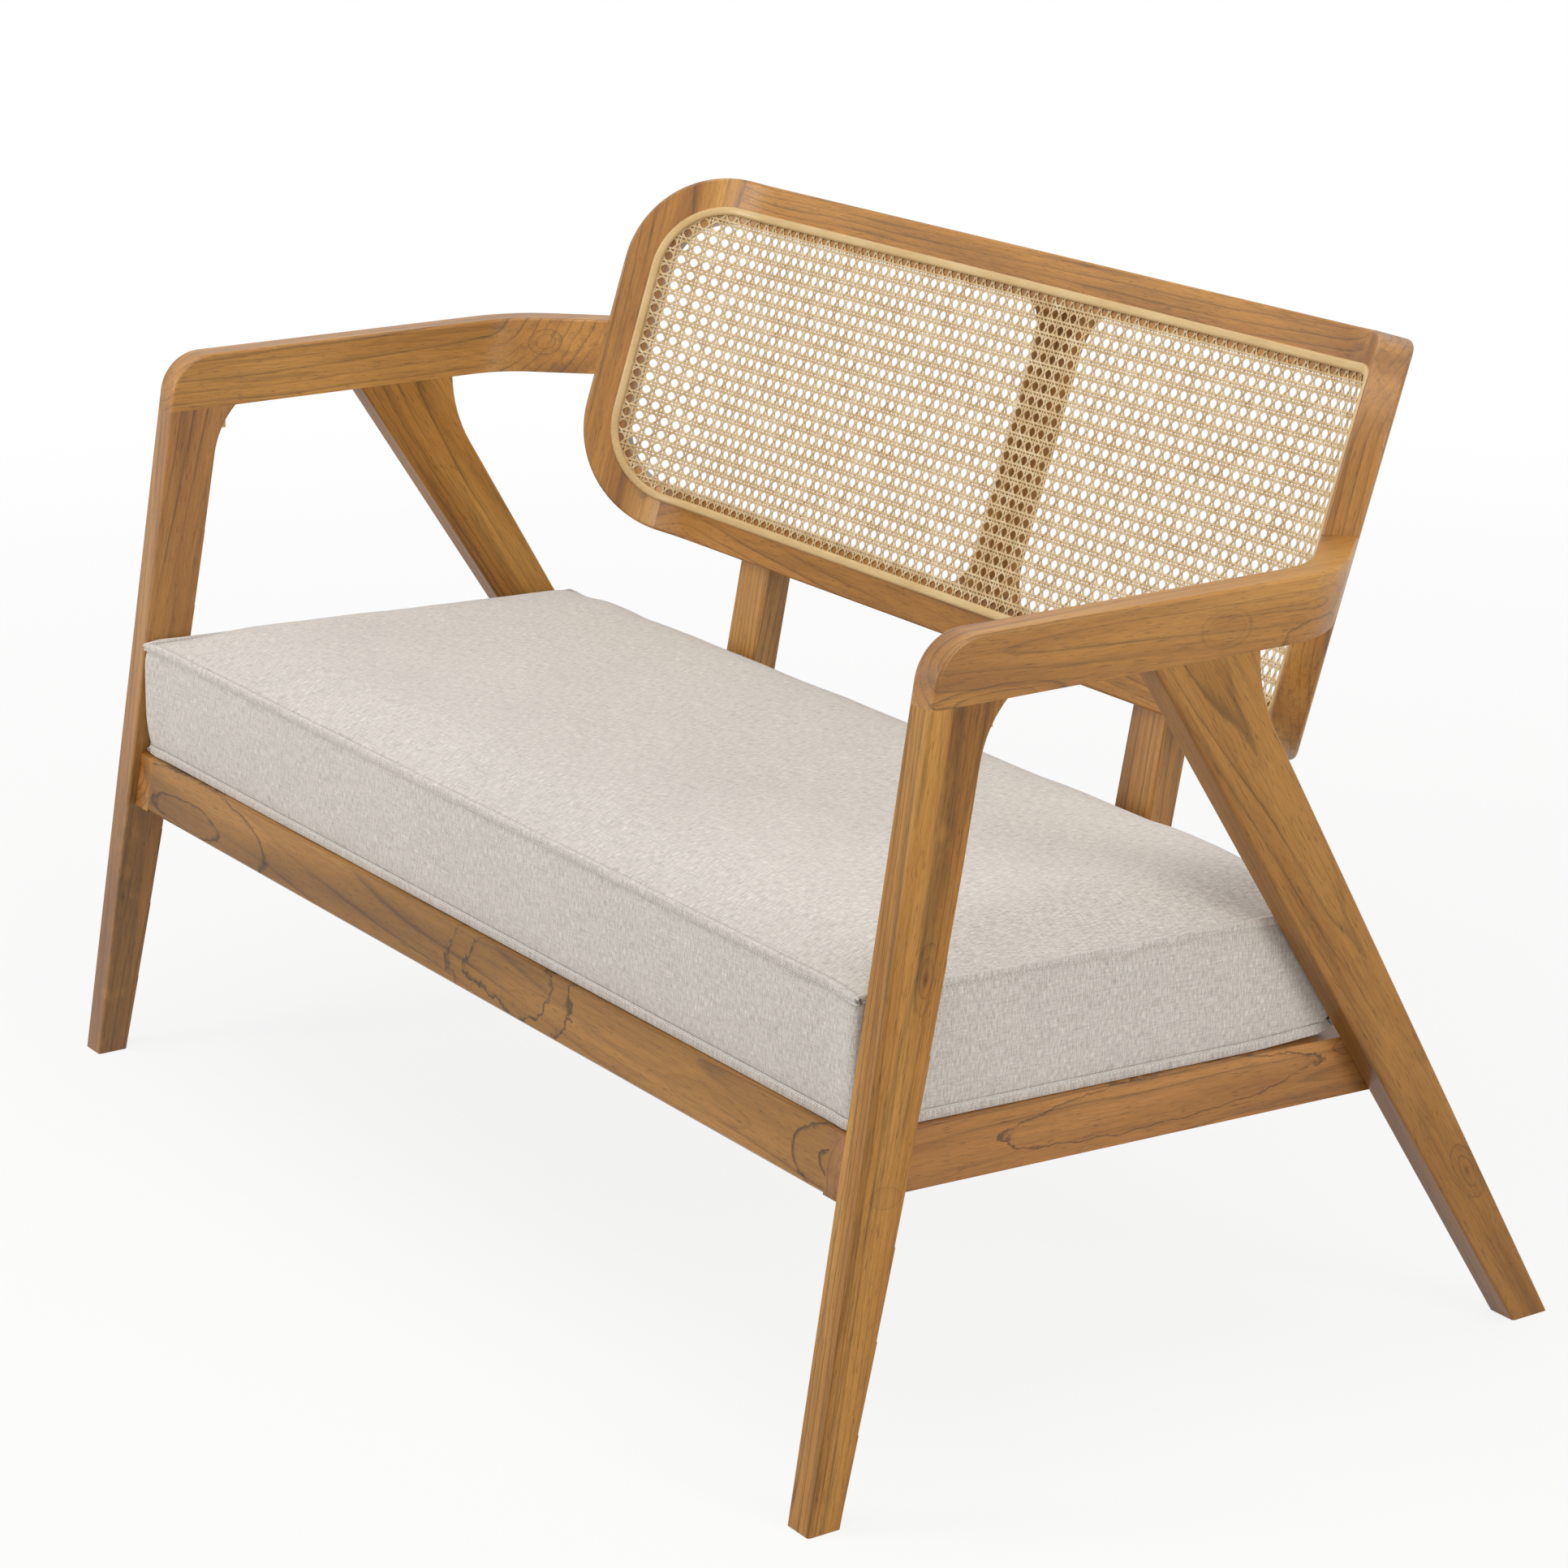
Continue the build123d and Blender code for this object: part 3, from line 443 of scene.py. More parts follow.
boards = {
    "front_leg_right": {
        "grain": up["frontLeg"], "heart": (30, 60), "seed": 3.1, "streakDepth": 0.85, "ringPitch": 4.5,
        "figures": ({"at": (610, -262, 409), "size": (26, 9), "rings": (0.6, 1.0), "ringTone": 0.62,
                     "core": 0.7, "coreTone": 0.3, "wobble": 0.6, "wobbleScale": 50},
                    {"at": (610, -251, 500), "size": (150, 11), "core": 0.66, "coreTone": 0.6,
                     "coreSize": 0.62, "ringTone": 0.95, "wobble": 0.5},
                    {"at": (612, -296, 250), "size": (9, 14), "ringTone": 0.75})},
    "front_leg_left": {
        "grain": up["frontLeg"], "heart": (60, -30), "seed": 8.4, "gloss": 0.6,
        # painted shade: a darker tone than the other legs, for the shade under the seat
        "light": "#B48243", "middle": "#9C6932",
        "figures": ({"at": (-582, -330, 150), "size": (22, 8), "core": 0.75, "ringTone": 0.7},
                    # painted shade: a broad dark zone over the leg's lower part, where it stands under the
                    # seat
                    {"at": (-582, -335, 120), "size": (190, 22), "core": 0.7, "coreTone": 0.66,
                     "coreSize": 0.7, "ringTone": 0.95, "wobble": 0.5})},
    "rear_leg_right": {
        "grain": up["rearLeg"], "heart": (-70, 30), "seed": 5.2, "ringPitch": 5.0,
        "light": "#A9783A", "middle": "#93632B", "dark": "#704820",
        "figures": ({"at": (610, 266, 144), "size": (30, 11), "rings": (0.55, 1.0), "ringTone": 0.6,
                     "core": 0.8, "wobble": 0.6, "wobbleScale": 45},)},
    "rear_leg_left": {"grain": up["rearLeg"], "heart": (50, 40), "seed": 6.6},
    "arm_right": {
        "grain": (0, 1, 0), "heart": (-48, 6), "seed": 1.7, "gloss": 0.5,
        "ringPitch": 9.0, "ringWander": 14.0, "streakDepth": 0.35,
        "figures": ({"at": (610, 3, 625), "size": (24, 15), "rings": (0.75, 1.0), "ringTone": 0.8},
                    {"at": (610, -205, 604), "size": (62, 11), "rings": (0.6, 1.0), "ringTone": 0.55,
                     "wobbleScale": 22, "wobble": 0.5},
                    {"at": (606, 104, 604), "size": (50, 17), "ringTone": 0.5, "wobble": 0.7,
                     "wobbleScale": 34})},
    "arm_left": {
        "grain": (0, 1, 0), "heart": (60, 30), "seed": 5.6, "ringPitch": 8.0, "gloss": 0.55,
        "figures": ({"at": (-556, 122, 632), "size": (45, 12), "rings": (0.6, 1.0), "ringTone": 0.6},)},
    "back_end_right": {"grain": up["panel"], "heart": (60, 60), "seed": 4.4, "gloss": 0.6},
    "back_end_left": {"grain": up["panel"], "heart": (-60, 50), "seed": 9.3, "gloss": 0.6},
    "back_top_rail": {"grain": (1, 0, 0), "heart": (45, 60), "seed": 7.5, "streakDepth": 0.75, "gloss": 0.5},
    "back_bottom_rail": {"grain": (1, 0, 0), "heart": (-50, 40), "seed": 0.6, "light": "#AC783A",
                         "middle": "#98672B"},
    "back_post_right": {"grain": up["post"], "heart": (35, 50), "seed": 2.2, "gloss": 0.6},
    "back_post_left": {"grain": up["post"], "heart": (-45, 30), "seed": 3.8, "gloss": 0.6},
    "back_brace": {"grain": up["panel"], "heart": (40, 60), "seed": 5.9},
    "front_apron": {
        "grain": (1, 0, 0), "heart": (-70, 40), "seed": 6.1, "ringPitch": 12.0, "streakDepth": 0.45,
        "light": "#AC7B3F", "middle": "#94672E", "dark": "#745026",
        "figures": ({"at": (-478, -309, 252), "size": (160, 38), "rings": (0.4, 1.0), "ringWidth": 0.018,
                     "ringTone": 0.26, "wobble": 0.3},
                    {"at": (100, -309, 270), "size": (100, 46), "rings": (0.64, 1.0), "ringWidth": 0.024,
                     "ringTone": 0.22, "wobble": 0.8, "wobbleScale": 30},
                    {"at": (112, -309, 250), "size": (22, 12), "ringTone": 0.8, "core": 0.8,
                     "coreTone": 0.66, "wobble": 0.9, "wobbleScale": 60},
                    {"at": (590, -309, 262), "size": (82, 30), "rings": (0.5, 1.0), "ringWidth": 0.026,
                     "ringTone": 0.24, "wobble": 0.45},
                    {"at": (395, -309, 258), "size": (60, 11), "ringTone": 0.85})},
    "side_apron_right": {
        "grain": (0, 1, 0), "heart": (-34, -4), "seed": 1.1, "ringPitch": 10.0, "ringWander": 20.0,
        "light": "#B57E42", "middle": "#A16C33", "dark": "#7C5027", "gloss": 0.42,
        "figures": ({"at": (582, -22, 258), "size": (150, 20), "ringTone": 0.3, "ringWidth": 0.02,
                     "wobble": 0.5, "wobbleScale": 34},
                    {"at": (582, 170, 264), "size": (26, 9), "ringTone": 0.6, "core": 0.7, "coreTone": 0.4,
                     "wobble": 0.8, "wobbleScale": 50})},
    "side_apron_left": {"grain": (0, 1, 0), "heart": (34, 10), "seed": 4.9, "ringPitch": 9.0},
    "rear_rail": {"grain": (1, 0, 0), "heart": (40, 30), "seed": 7.7},
    "seat_support": {"grain": (0, 1, 0), "heart": (30, 30), "seed": 8.8},
    "slat_cleat_right": {"grain": (0, 1, 0), "heart": (30, 40), "seed": 0.3},
    "slat_cleat_left": {"grain": (0, 1, 0), "heart": (30, 40), "seed": 1.3},
}
for index in range(1, 8):
    boards[f"seat_slat_{index}"] = {"grain": (1, 0, 0), "heart": (45 + 6 * index, 30), "seed": 1.9 * index}
for name in ("front_right", "front_left", "rear_right", "rear_left"):
    boards[f"corner_block_{name}"] = {"grain": (1, 0, 0), "heart": (40, 30), "seed": len(name) * 0.7}

# Knots and looped ring lines, and one broad dark zone of painted shade: a centre in mm, a half size along
# and across the grain, rings as shares of it
figureLook = {
    "size": (40, 12), "rings": (1.0,), "ringWidth": 0.035, "ringTone": 0.42, "wobble": 0.35,
    "wobbleScale": 28, "core": None, "coreTone": 0.45, "coreSize": 0.22, "soft": 0.97,
    "wash": 0.93,                # the light stain that runs up to each line
    "spread": 2.5,               # how wide the stain is, in line widths
    "margin": 0.3,               # clear wood past the last ring
    "breaks": {"perMetre": (45, 45, 45), "stops": [(0.32, 0.4), (0.46, 1.0)]},      # where a line fades
}


def addFigure(tree, colour, place, turn, figure):  # dark wavy loops, and a knot if it has a core
    along, across = (size * mm for size in figure["size"])
    local = addNode(tree, "ShaderNodeMapping", {
        "vector_type": "TEXTURE", "Location": Vector(figure["at"]) * mm, "Rotation": turn.to_euler(),
        "Scale": (along, across, across), "Vector": place}).outputs[0]
    distance = addNode(tree, "ShaderNodeVectorMath", {"operation": "LENGTH", 0: local}).outputs["Value"]
    waves = grain(tree, place, (figure["wobbleScale"],) * 3, Detail=5.0, Roughness=0.62)
    warped = addNode(tree, "ShaderNodeMath", {"operation": "MULTIPLY_ADD", 0: waves, 1: figure["wobble"],
                                              2: distance}).outputs[0]
    start = figure["wobble"] / 2
    reach = max(figure["rings"]) + figure["wobble"] + figure["margin"]
    share = addNode(tree, "ShaderNodeMapRange", {"From Min": start, "From Max": reach, "Value": warped})
    span = reach - start
    stops = [(0.0, figure["coreTone"] if figure["core"] else figure["soft"])]
    if figure["core"]:
        size = figure["coreSize"] / span
        stops += [(size, figure["core"]), (size * 1.5, figure["soft"])]
    for ring in figure["rings"]:
        middle, half = ring / span, figure["ringWidth"] / span
        stops += [(middle - figure["spread"] * half, figure["wash"]), (middle, figure["ringTone"]),
                  (middle + half, 1.0)]
    lines = addNode(tree, "ShaderNodeValToRGB", {"Fac": share.outputs[0], "stops": stops}).outputs["Color"]
    return stained(tree, colour, [(lines, grain(tree, place, **figure["breaks"], Detail=2.0))])


def makeTeak(name, board):
    # oiled teak: golden brown, thin dark late-wood lines, streaks, open pores and a low satin sheen
    look = {**teakLook, **board}
    material, tree, shader = newMaterial("oiledTeak_" + name, {"Specular IOR Level": look["gloss"],
                                                               "IOR": 1.5})
    low, high = (Vector(corner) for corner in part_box(name))
    turn = Vector(look["grain"]).to_track_quat("X", "Z").to_matrix()
    tilt = Matrix.Rotation(math.radians(look["slope"][0]), 3, "Y") @ Matrix.Rotation(
        math.radians(look["slope"][1]), 3, "Z")
    heart = (low + high) / 2 + turn @ Vector((0, look["heart"][0] * mm, look["heart"][1] * mm))
    place = addNode(tree, "ShaderNodeTexCoord", {}).outputs["Object"]
    along = addNode(tree, "ShaderNodeMapping", {
        "vector_type": "TEXTURE", "Location": heart, "Rotation": (turn @ tilt).to_euler(), "Vector": place})
    spot = addNode(tree, "ShaderNodeVectorMath", {"operation": "ADD", 0: along.outputs[0],
                                                  1: (look["seed"], 0, 0)}).outputs[0]
    squeezed = addNode(tree, "ShaderNodeVectorMath", {"operation": "MULTIPLY", 0: spot,
                                                      1: look["ringStretch"]})
    rings = addNode(tree, "ShaderNodeTexWave", {
        "wave_type": "RINGS", "rings_direction": "X", "wave_profile": "SAW",
        "Scale": 2 * math.pi / (20 * look["ringPitch"] * mm),      # the node repeats 20 times in a turn
        "Distortion": look["ringWander"], "Detail": 3.0, "Detail Scale": look["ringDetail"],
        "Detail Roughness": 0.55, "Vector": squeezed.outputs[0]})
    lateWood = addNode(tree, "ShaderNodeValToRGB", {"Fac": rings.outputs["Fac"], "stops": look["ringTones"]})
    fade = grain(tree, spot, **look["ringFade"], Detail=2.0)
    zoneStops = [(0.3, look["dark"]), (0.48, look["middle"]), (0.68, look["light"])]
    zones = grain(tree, spot, look["zones"], zoneStops, Detail=2.0, Distortion=0.4)
    streaks = grain(tree, spot, **look["streaks"], Detail=4.0, Roughness=0.65)
    fibre = grain(tree, spot, look["fibres"]["perMetre"], Detail=3.0, Roughness=0.65)
    fibres = addNode(tree, "ShaderNodeValToRGB", {"Fac": fibre, "stops": look["fibres"]["stops"]})
    pores = grain(tree, spot, **look["pores"], Detail=1.0)
    colour = stained(tree, zones, [(lateWood.outputs["Color"], fade), (streaks, look["streakDepth"]),
                                   (fibres.outputs["Color"], 1.0), (pores, look["poreAmount"])])
    for figure in look["figures"]:
        colour = addFigure(tree, colour, place, turn, {**figureLook, **figure})
    tree.links.new(colour, shader.inputs["Base Color"])
    smooth, rough = look["roughness"]
    sheen = addNode(tree, "ShaderNodeMapRange", {"From Min": 0.3, "From Max": 0.7, "To Min": smooth,
                                                 "To Max": rough, "Value": fibre})
    tree.links.new(sheen.outputs[0], shader.inputs["Roughness"])
    bump = addNode(tree, "ShaderNodeBump", {"Strength": look["poreStrength"], "Height": pores,
                                            "Distance": look["poreDepth"] * mm})
    tree.links.new(bump.outputs[0], shader.inputs["Normal"])
    return material


def dress(name, material):
    mesh = nodes[name].data
    mesh.materials.clear()
    mesh.materials.append(material)


for name, board in boards.items():
    dress(name, makeTeak(name, board))
print("teak boards finished:", len(boards))

# Tenons and fixings, mostly inside the wood
hidden = {
    "fibres": {"perMetre": (60, 60, 500), "stops": [(0.3, "#B58F60"), (0.7, "#D0AE80")]},
    # turning marks 1.1 mm apart, coarser than the real 0.1 mm
    "turned": {"perMetre": (900, 900, 900), "stops": [(0.3, "#A9A9AA"), (0.7, "#C3C3C4")]},
}


def makeHidden(settings):
    # planed hardwood tenons, matt and pale, and bright turned stainless fixings
    tenon, tree, shader = newMaterial("planedHardwood", {"Roughness": 0.6})
    place = addNode(tree, "ShaderNodeTexCoord", {}).outputs["Object"]
    tree.links.new(grain(tree, place, **settings["fibres"], Detail=3.0), shader.inputs["Base Color"])
    steel, tree, shader = newMaterial("turnedStainless", {"Metallic": 1.0, "Roughness": 0.3})
    place = addNode(tree, "ShaderNodeTexCoord", {}).outputs["Object"]
    tree.links.new(grain(tree, place, **settings["turned"], Detail=1.0), shader.inputs["Base Color"])
    for name in ("arm_tenons", "rim_tenons", "frame_tenons", "seat_tenons"):
        dress(name, tenon)
    for name in ("leg_bolts", "leg_inserts", "slat_screws", "cleat_screws", "block_screws", "brace_screws"):
        dress(name, steel)
    print("tenons and fixings finished")


makeHidden(hidden)

# Cushion, in mm on the seat: zipped linen cover over foam, crowned, with corners that stand out a little
cushion = {
    "halfWidth": 577.5, "front": 5.5, "back": 449, "frontLean": -1, "backLean": 12,
    "height": 106.5, "lift": 0.8, "startInset": 1.0, "cornerRadius": 5, "cornerSteps": 3, "voxel": 8,
    "cloth": {"quality": 6, "mass": 0.4, "tension_stiffness": 12, "compression_stiffness": 12,
              "bending_stiffness": 0.8, "use_pressure": True, "uniform_pressure_force": 4},
    "frames": 20, "smoothPasses": 3, "seamSteps": 8,
    "crownCap": 25, "sideCap": 3.6, "backCap": 2.0,      # how far the cover may swell
    "crownReach": (95, 85, 28),      # how far the crown takes to rise from the sides, the front and the back
    "bulge": 1.3,                    # over 1, the sides swell most above their middle
    "endReach": 85,
    "fullness": 0.65,                # how far the cloth run's shape is drawn to the full swelling
    "ripple": 1.3, "ripplesPerMetre": 11, "rippleFrom": 6,
    "cornerReach": 40, "cornerSide": 3.8, "cornerFront": 10, "cornerBack": 8, "rearLift": 6, "liftReach": 90,
    "topHold": 0.65, "topReach": 40,      # a share of the corners' pull at the top seam, all of it below
    "footHold": 0.25, "footReach": 45,    # the same at the front's foot
    "seatSlope": 2, "seatFront": -304.76, "seatHeight": 287, "fill": 0.85,
}
toSeat = Matrix.Translation((0, cushion["seatFront"] * mm, cushion["seatHeight"] * mm)) @ Matrix.Rotation(
    -math.radians(cushion["seatSlope"]), 4, "X")


def cushionSides(height):  # front, back and half width at a height
    share = height / cushion["height"]
    return (cushion["front"] + cushion["frontLean"] * share, cushion["back"] + cushion["backLean"] * share,
            cushion["halfWidth"])


linen = {
    # yarns drawn at 1 mm, coarser than the real 0.4 mm, so that the weave shows in the render
    "warp": {"perMetre": (1000, 130, 1), "stops": [(0.3, "#B2AAA1"), (0.5, "#CBC4BC"), (0.7, "#DED8D1")]},
    "weft": {"perMetre": (130, 1000, 1), "stops": [(0.3, 0.84), (0.5, 1.0), (0.7, 1.08)]},
    "slubs": {"perMetre": (500, 32, 1), "stops": [(0.32, 0.9), (0.5, 1.0)]},
    "crossSlubs": {"perMetre": (32, 500, 1), "stops": [(0.32, 0.9), (0.5, 1.0)]},
    "cloud": {"perMetre": (9, 9, 1), "stops": [(0.3, 0.97), (0.7, 1.02)]},
    "yarnHeight": 0.35, "yarnStrength": 0.6,
}


def makeLinen(settings):
    # melange linen weave: oatmeal yarns that vary along both threads, matt with a soft sheen at the edge
    material, tree, shader = newMaterial("melangeLinen", {"Roughness": 0.92, "Sheen Weight": 0.25,
                                                          "Sheen Roughness": 0.5})
    place = addNode(tree, "ShaderNodeUVMap", {"uv_map": "cloth"}).outputs[0]
    yarns = {key: grain(tree, place, **settings[key], Detail=2.0, Roughness=0.65)
             for key in ("warp", "weft", "slubs", "crossSlubs", "cloud")}
    stains = [(yarns[key], 1.0) for key in ("weft", "slubs", "crossSlubs", "cloud")]
    tree.links.new(stained(tree, yarns["warp"], stains), shader.inputs["Base Color"])
    weave = addNode(tree, "ShaderNodeMath", {"operation": "ADD", 0: yarns["warp"], 1: yarns["weft"]})
    bump = addNode(tree, "ShaderNodeBump", {"Strength": settings["yarnStrength"], "Height": weave.outputs[0],
                                            "Distance": settings["yarnHeight"] * mm})
    tree.links.new(bump.outputs[0], shader.inputs["Normal"])
    return material


def makeCushionMesh(settings):  # a block a little smaller than the cushion, remeshed to even faces
    bm = bmesh.new()
    bmesh.ops.create_cube(bm, size=1)
    top = settings["height"] - settings["startInset"]
    for vertex in bm.verts:
        height = top if vertex.co.z > 0 else settings["lift"]
        front, back, half = cushionSides(height)
        y = back - settings["startInset"] if vertex.co.y > 0 else front + settings["startInset"]
        x = math.copysign(half - settings["startInset"], vertex.co.x)
        vertex.co = (x, y, height)
    posts = [edge for edge in bm.edges if abs(edge.verts[0].co.z - edge.verts[1].co.z) > top / 2]
    bmesh.ops.bevel(bm, geom=posts, offset=settings["cornerRadius"], affect="EDGES",
                    segments=settings["cornerSteps"], profile=0.5, material=-1)
    bmesh.ops.scale(bm, verts=bm.verts, vec=(mm, mm, mm))
    mesh = bpy.data.meshes.new("linenCushion")
    bm.to_mesh(mesh)
    bm.free()
    piece = bpy.data.objects.new("cushionBlank", mesh)
    bpy.context.scene.collection.objects.link(piece)
    remesh = piece.modifiers.new("evenFaces", "REMESH")
    remesh.mode = "VOXEL"
    remesh.voxel_size = settings["voxel"] * mm
    bpy.context.view_layer.update()
    even = bpy.data.meshes.new_from_object(piece.evaluated_get(bpy.context.evaluated_depsgraph_get()))
    bpy.data.objects.remove(piece)
    return even


def swellLimit(co, normal, settings):  # how far a point of the cover may swell, in mm
    x, y, z = co / mm
    front, back, half = cushionSides(z)
    if normal.z < -0.5:
        return 0      # flat where it rests on the slats
    if normal.z > 0.5:
        limit = settings["crownCap"]
        gaps = (half - abs(x), y - front, back - y)
        shares = [gap / reach for gap, reach in zip(gaps, settings["crownReach"])]
    else:
        run = min(y - front, back - y) if abs(normal.x) > 0.7 else half - abs(x)
        level = min(max(z / settings["height"], 0), 1)
        cap = settings["backCap" if normal.y > 0.5 else "sideCap"]
        limit = cap * math.sin(math.pi * level ** settings["bulge"])
        shares = [run / settings["endReach"]]
    for share in shares:
        limit *= math.sin(min(max(share, 0), 1) * math.pi / 2)
    return limit


def inflate(mesh, settings):  # swells the cover by cloth simulation, held in near the seams
    piece = bpy.data.objects.new("cushionCloth", mesh)
    scene = bpy.context.scene
    scene.collection.objects.link(piece)
    start = [vertex.co.copy() for vertex in mesh.vertices]
    normals = [vertex.normal.copy() for vertex in mesh.vertices]
    cloth = piece.modifiers.new("linen", "CLOTH")
    for key, value in settings["cloth"].items():
        setattr(cloth.settings, key, value)
    cloth.settings.effector_weights.gravity = 0
    cloth.point_cache.frame_end = settings["frames"]
    for step in range(1, settings["frames"] + 1):
        scene.frame_set(step)
    shaped = piece.evaluated_get(bpy.context.evaluated_depsgraph_get()).data
    swollen = [vertex.co.copy() for vertex in shaped.vertices]
    scene.frame_set(1)
    for vertex, co, normal, target in zip(mesh.vertices, start, normals, swollen):
        limit = swellLimit(co, normal, settings) * mm
        move = target - co
        move -= normal * min(move.dot(normal), 0)
        if normal.z < -0.5:
            move.z = max(move.z, 0)
        if move.length > limit:
            move *= limit / move.length
        move = move.lerp(normal * limit, settings["fullness"])
        ripple = noise.noise(co * settings["ripplesPerMetre"]) * settings["ripple"] * mm
        move += normal * ripple * min(limit / (settings["rippleFrom"] * mm), 1)
        vertex.co = pullCorner(co + move, settings)
    bpy.data.objects.remove(piece)
    return mesh


def pullCorner(co, settings):  # the four corners stand out, and the rear ones lift off the seat
    x, y, z = co / mm
    front, back, half = cushionSides(z)
    ahead = y < (front + back) / 2
    gap = math.hypot(half - abs(x), y - front if ahead else back - y)
    top = settings["topHold"] + (settings["height"] - z) / settings["topReach"]
    low = settings["footHold"] + z / settings["footReach"] if ahead else 1
    share = max(1 - gap / settings["cornerReach"], 0) ** 2 * min(max(top, 0), low, 1)
    outwards = Vector((math.copysign(settings["cornerSide"], x),
                       -settings["cornerFront"] if ahead else settings["cornerBack"], 0)) * share
    if not ahead:
        level = min(max(z / settings["height"], 0), 1)
        outwards.z = settings["rearLift"] * max(1 - gap / settings["liftReach"], 0) ** 2 * (1 - level)
    return co + outwards * mm


def clothMap(mesh):  # the weave's map: each face by the panel it lies in, in metres
    layer = mesh.uv_layers.new(name="cloth")
    for polygon in mesh.polygons:
        normal = polygon.normal
        axis = max(range(3), key=lambda index: abs(normal[index]))
        first, second = ((1, 2), (0, 2), (0, 1))[axis]
        for loop in polygon.loop_indices:
            co = mesh.vertices[mesh.loops[loop].vertex_index].co
            layer.data[loop].uv = (co[first], co[second])


def seamPath(height, settings, step):  # rounded loop round the cushion at a height
    front, back, half = cushionSides(height)
    radius = settings["cornerRadius"]
    points = []
    for cx, cy, start in ((half - radius, back - radius, 0), (radius - half, back - radius, 90),
                          (radius - half, front + radius, 180), (half - radius, front + radius, 270)):
        for index in range(settings["seamSteps"] + 1):
            angle = math.radians(start + 90 * index / settings["seamSteps"])
            x, y = cx + radius * math.cos(angle), cy + radius * math.sin(angle)
            points.append(Vector((x, y, height)) * mm)
    even = []
    for a, b in zip(points, points[1:] + points[:1]):
        count = max(round((b - a).length / (step * mm)), 1)
        even += [a.lerp(b, index / count) for index in range(count)]
    return [pullCorner(point, settings) for point in even]


# Seams, in mm: a topstitched ridge under the top edge and a flange at the foot, each laid out from the
# skin where it is flat, at lookAt, and then moved to its level
seam = {
    "Top": {"level": 104.4, "lookAt": 97, "out": -0.8, "height": 7.6, "thickness": 4.8, "stitchLevel": 101.4,
            "stitchOut": 1.75},
    "Bottom": {"level": 4.9, "lookAt": 14, "out": -0.5, "height": 9.0, "thickness": 1.0, "stitchLevel": 7.0,
               "stitchOut": 0.15},
    "step": 12, "stitchPitch": 3.6, "stitchLength": 2.6, "stitchThickness": 0.8,
    # the thread's plies and tones, coarser than the real 0.3 mm
    "ply": {"perMetre": (800, 800, 800), "stops": [(0.3, "#DDD8D0"), (0.7, "#F3F0EB")]},
}


def onCloth(tree, level, out, edge, step):  # a loop on the flat of the skin, moved out and to its level
    found = [tree.find_nearest(point) for point in seamPath(edge["lookAt"], cushion, step)]
    shift = Vector((0, 0, (level - edge["lookAt"]) * mm))
    return [place + normal * out * mm + shift for place, normal, _, _ in found]


def makeSeams(tree, material, settings):
    for name in ("Top", "Bottom"):
        edge = settings[name]
        path = onCloth(tree, edge["level"], edge["out"], edge, settings["step"])
        curve = bpy.data.curves.new("seam" + name, "CURVE")
        curve.dimensions = "3D"
        curve.twist_mode = "Z_UP"
        curve.extrude = (edge["height"] - edge["thickness"]) / 2 * mm
        curve.bevel_depth = edge["thickness"] / 2 * mm
        curve.bevel_resolution = 2
        line = curve.splines.new("POLY")
        line.points.add(len(path) - 1)
        for target, point in zip(line.points, path):
            target.co = (*point, 1)
        line.use_cyclic_u = True
        holder = bpy.data.objects.new("seamHolder", curve)
        bpy.context.scene.collection.objects.link(holder)
        bpy.context.view_layer.update()
        mesh = bpy.data.meshes.new_from_object(holder.evaluated_get(bpy.context.evaluated_depsgraph_get()))
        bpy.data.objects.remove(holder)
        clothMap(mesh)
        mesh.transform(toSeat)
        finish(mesh, "seamFlange" + name, "cushion", material)
        makeStitches("seamStitches" + name, tree, edge, settings)


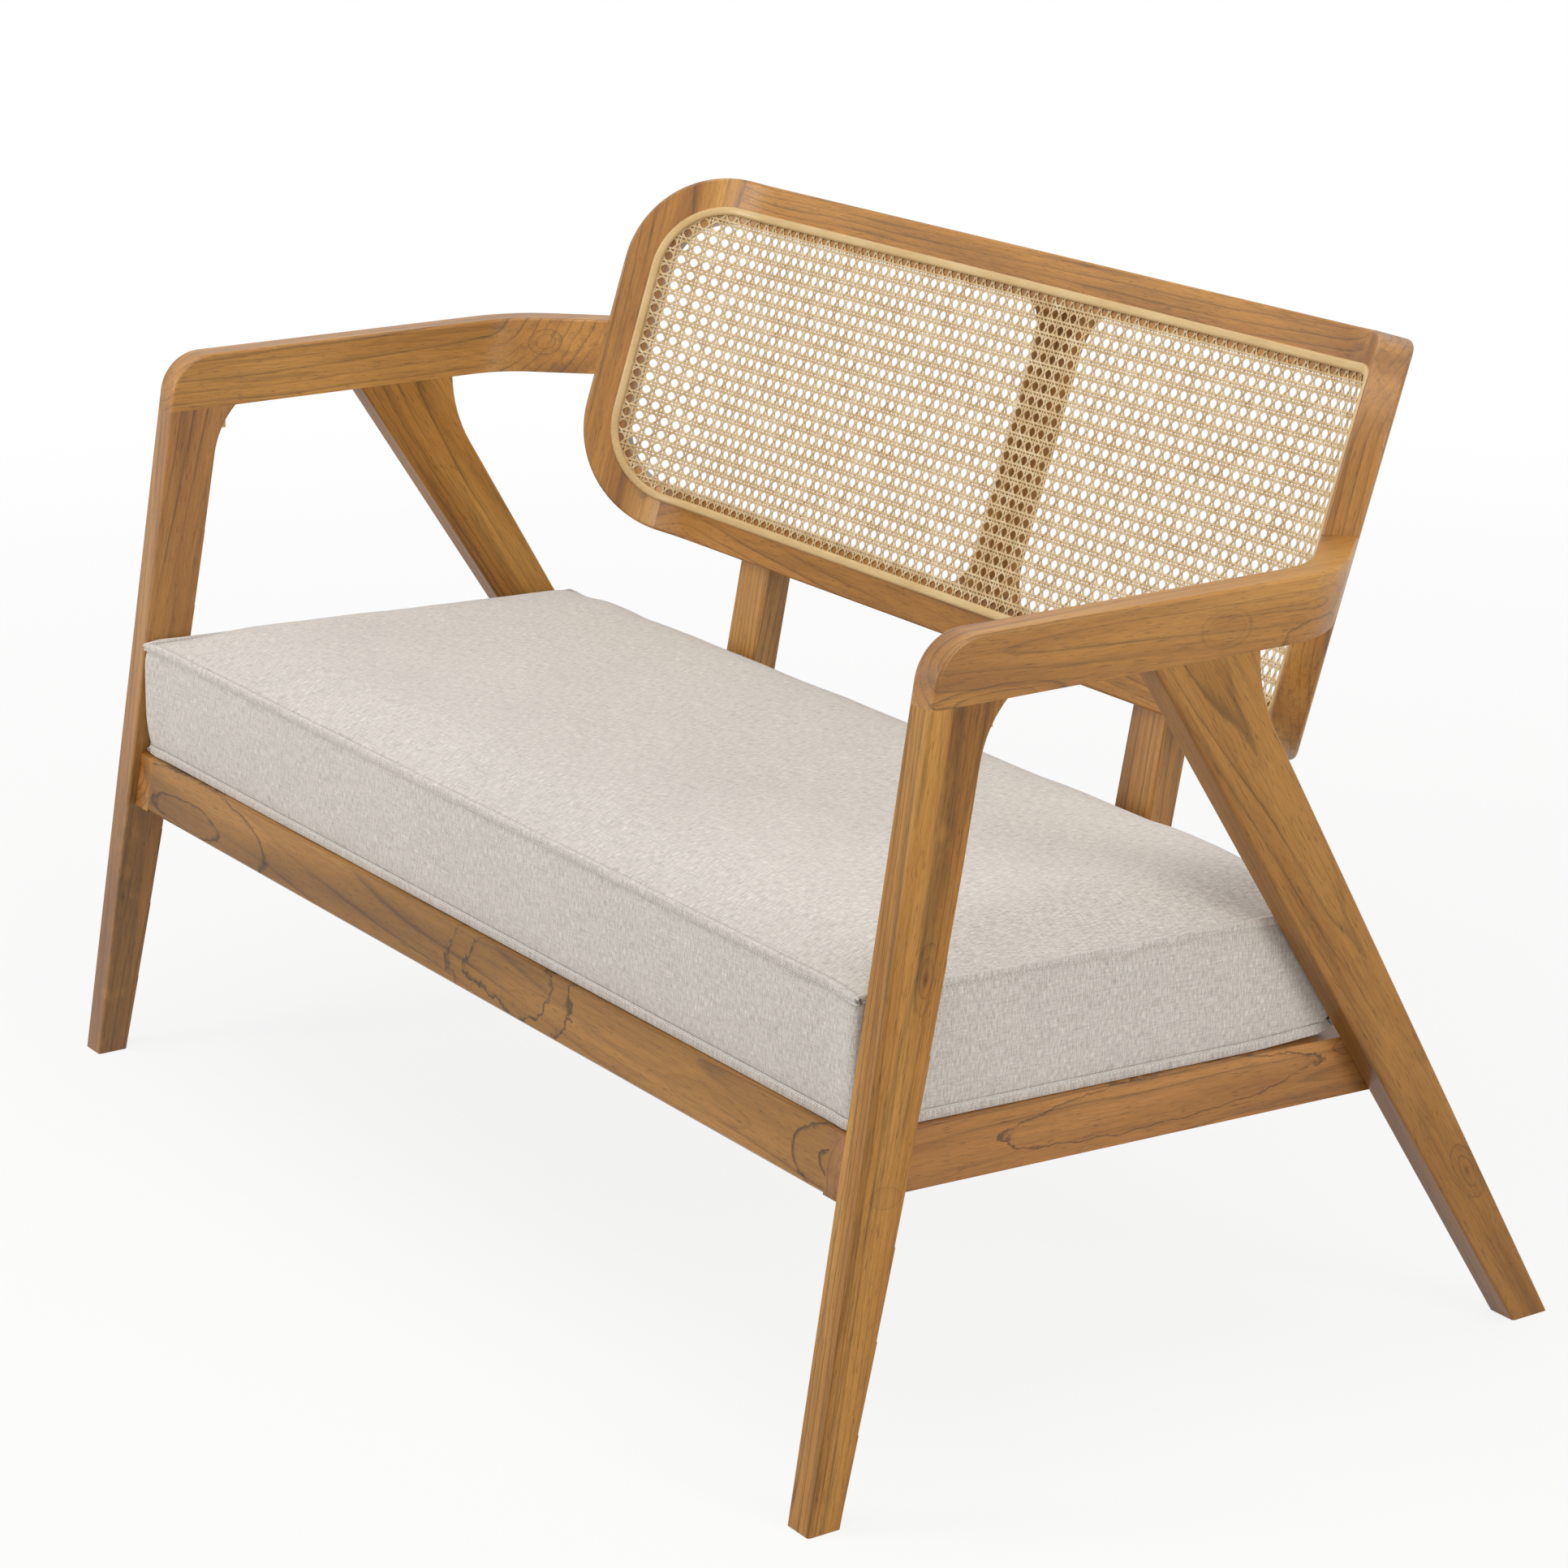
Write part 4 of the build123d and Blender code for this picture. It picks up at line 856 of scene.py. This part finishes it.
def makeStitches(name, tree, edge, settings):
    # polyester sewing thread: a shade lighter than the cloth, slightly shiny
    material, nodeTree, shader = newMaterial("sewingThread" + name[-3:], {"Roughness": 0.6})
    place = addNode(nodeTree, "ShaderNodeTexCoord", {}).outputs["Object"]
    nodeTree.links.new(grain(nodeTree, place, **settings["ply"], Detail=1.0), shader.inputs["Base Color"])
    path = onCloth(tree, edge["stitchLevel"], edge["stitchOut"], edge, settings["stitchPitch"])
    bm = bmesh.new()
    bmesh.ops.create_icosphere(bm, subdivisions=1, radius=0.5 * mm)
    thick = settings["stitchThickness"]
    bmesh.ops.scale(bm, verts=bm.verts, vec=(settings["stitchLength"], thick, thick))
    stitch = bpy.data.meshes.new("stitch")
    bm.to_mesh(stitch)
    bm.free()
    turns = [(b - a).to_track_quat("X", "Z").to_matrix().to_4x4() for a, b in zip(path, path[1:] + path[:1])]
    bm = gather([(stitch, toSeat @ Matrix.Translation(a) @ turn) for a, turn in zip(path, turns)])
    mesh = bpy.data.meshes.new(name)
    bm.to_mesh(mesh)
    bm.free()
    finish(mesh, name, "cushion", material)


def makeCushion(settings):
    material = makeLinen(linen)
    mesh = inflate(makeCushionMesh(settings), settings)
    bm = bmesh.new()
    bm.from_mesh(mesh)
    for _ in range(settings["smoothPasses"]):
        bmesh.ops.smooth_vert(bm, verts=bm.verts, factor=0.5, use_axis_x=True, use_axis_y=True,
                              use_axis_z=True)
    tree = BVHTree.FromBMesh(bm)
    bm.to_mesh(mesh)
    bm.free()
    clothMap(mesh)
    makeSeams(tree, material, seam)
    mesh.transform(toSeat)
    piece = finish(mesh, "linenCushion", "cushion", material, ["cushion_cover", "cushion_core"])
    print("cushion filled:", len(mesh.polygons), "faces")


makeCushion(cushion)

# Zip on the cushion's lower back face
zipper = {
    # the tape's ribs 1.1 mm apart, coarser than the real 0.6 mm
    "ribs": {"perMetre": (900, 40, 300), "stops": [(0.3, "#A39A8B"), (0.7, "#CAC2B5")]},
    "nylon": {"perMetre": (500, 500, 500), "stops": [(0.3, "#B7B6B2"), (0.7, "#CFCECA")]},
}


def makeZip(settings):
    # woven polyester tape, ribbed and matt, and a glossy moulded nylon slider and pull
    tape, tree, shader = newMaterial("wovenZipTape", {"Roughness": 0.85})
    place = addNode(tree, "ShaderNodeTexCoord", {}).outputs["Object"]
    tree.links.new(grain(tree, place, **settings["ribs"], Detail=1.0), shader.inputs["Base Color"])
    dress("zip_tape", tape)
    nylon, tree, shader = newMaterial("mouldedNylon", {"Roughness": 0.32})
    place = addNode(tree, "ShaderNodeTexCoord", {}).outputs["Object"]
    tree.links.new(grain(tree, place, **settings["nylon"], Detail=2.0), shader.inputs["Base Color"])
    for name in ("zip_slider", "zip_pull"):
        dress(name, nylon)
    print("zip finished")


makeZip(zipper)
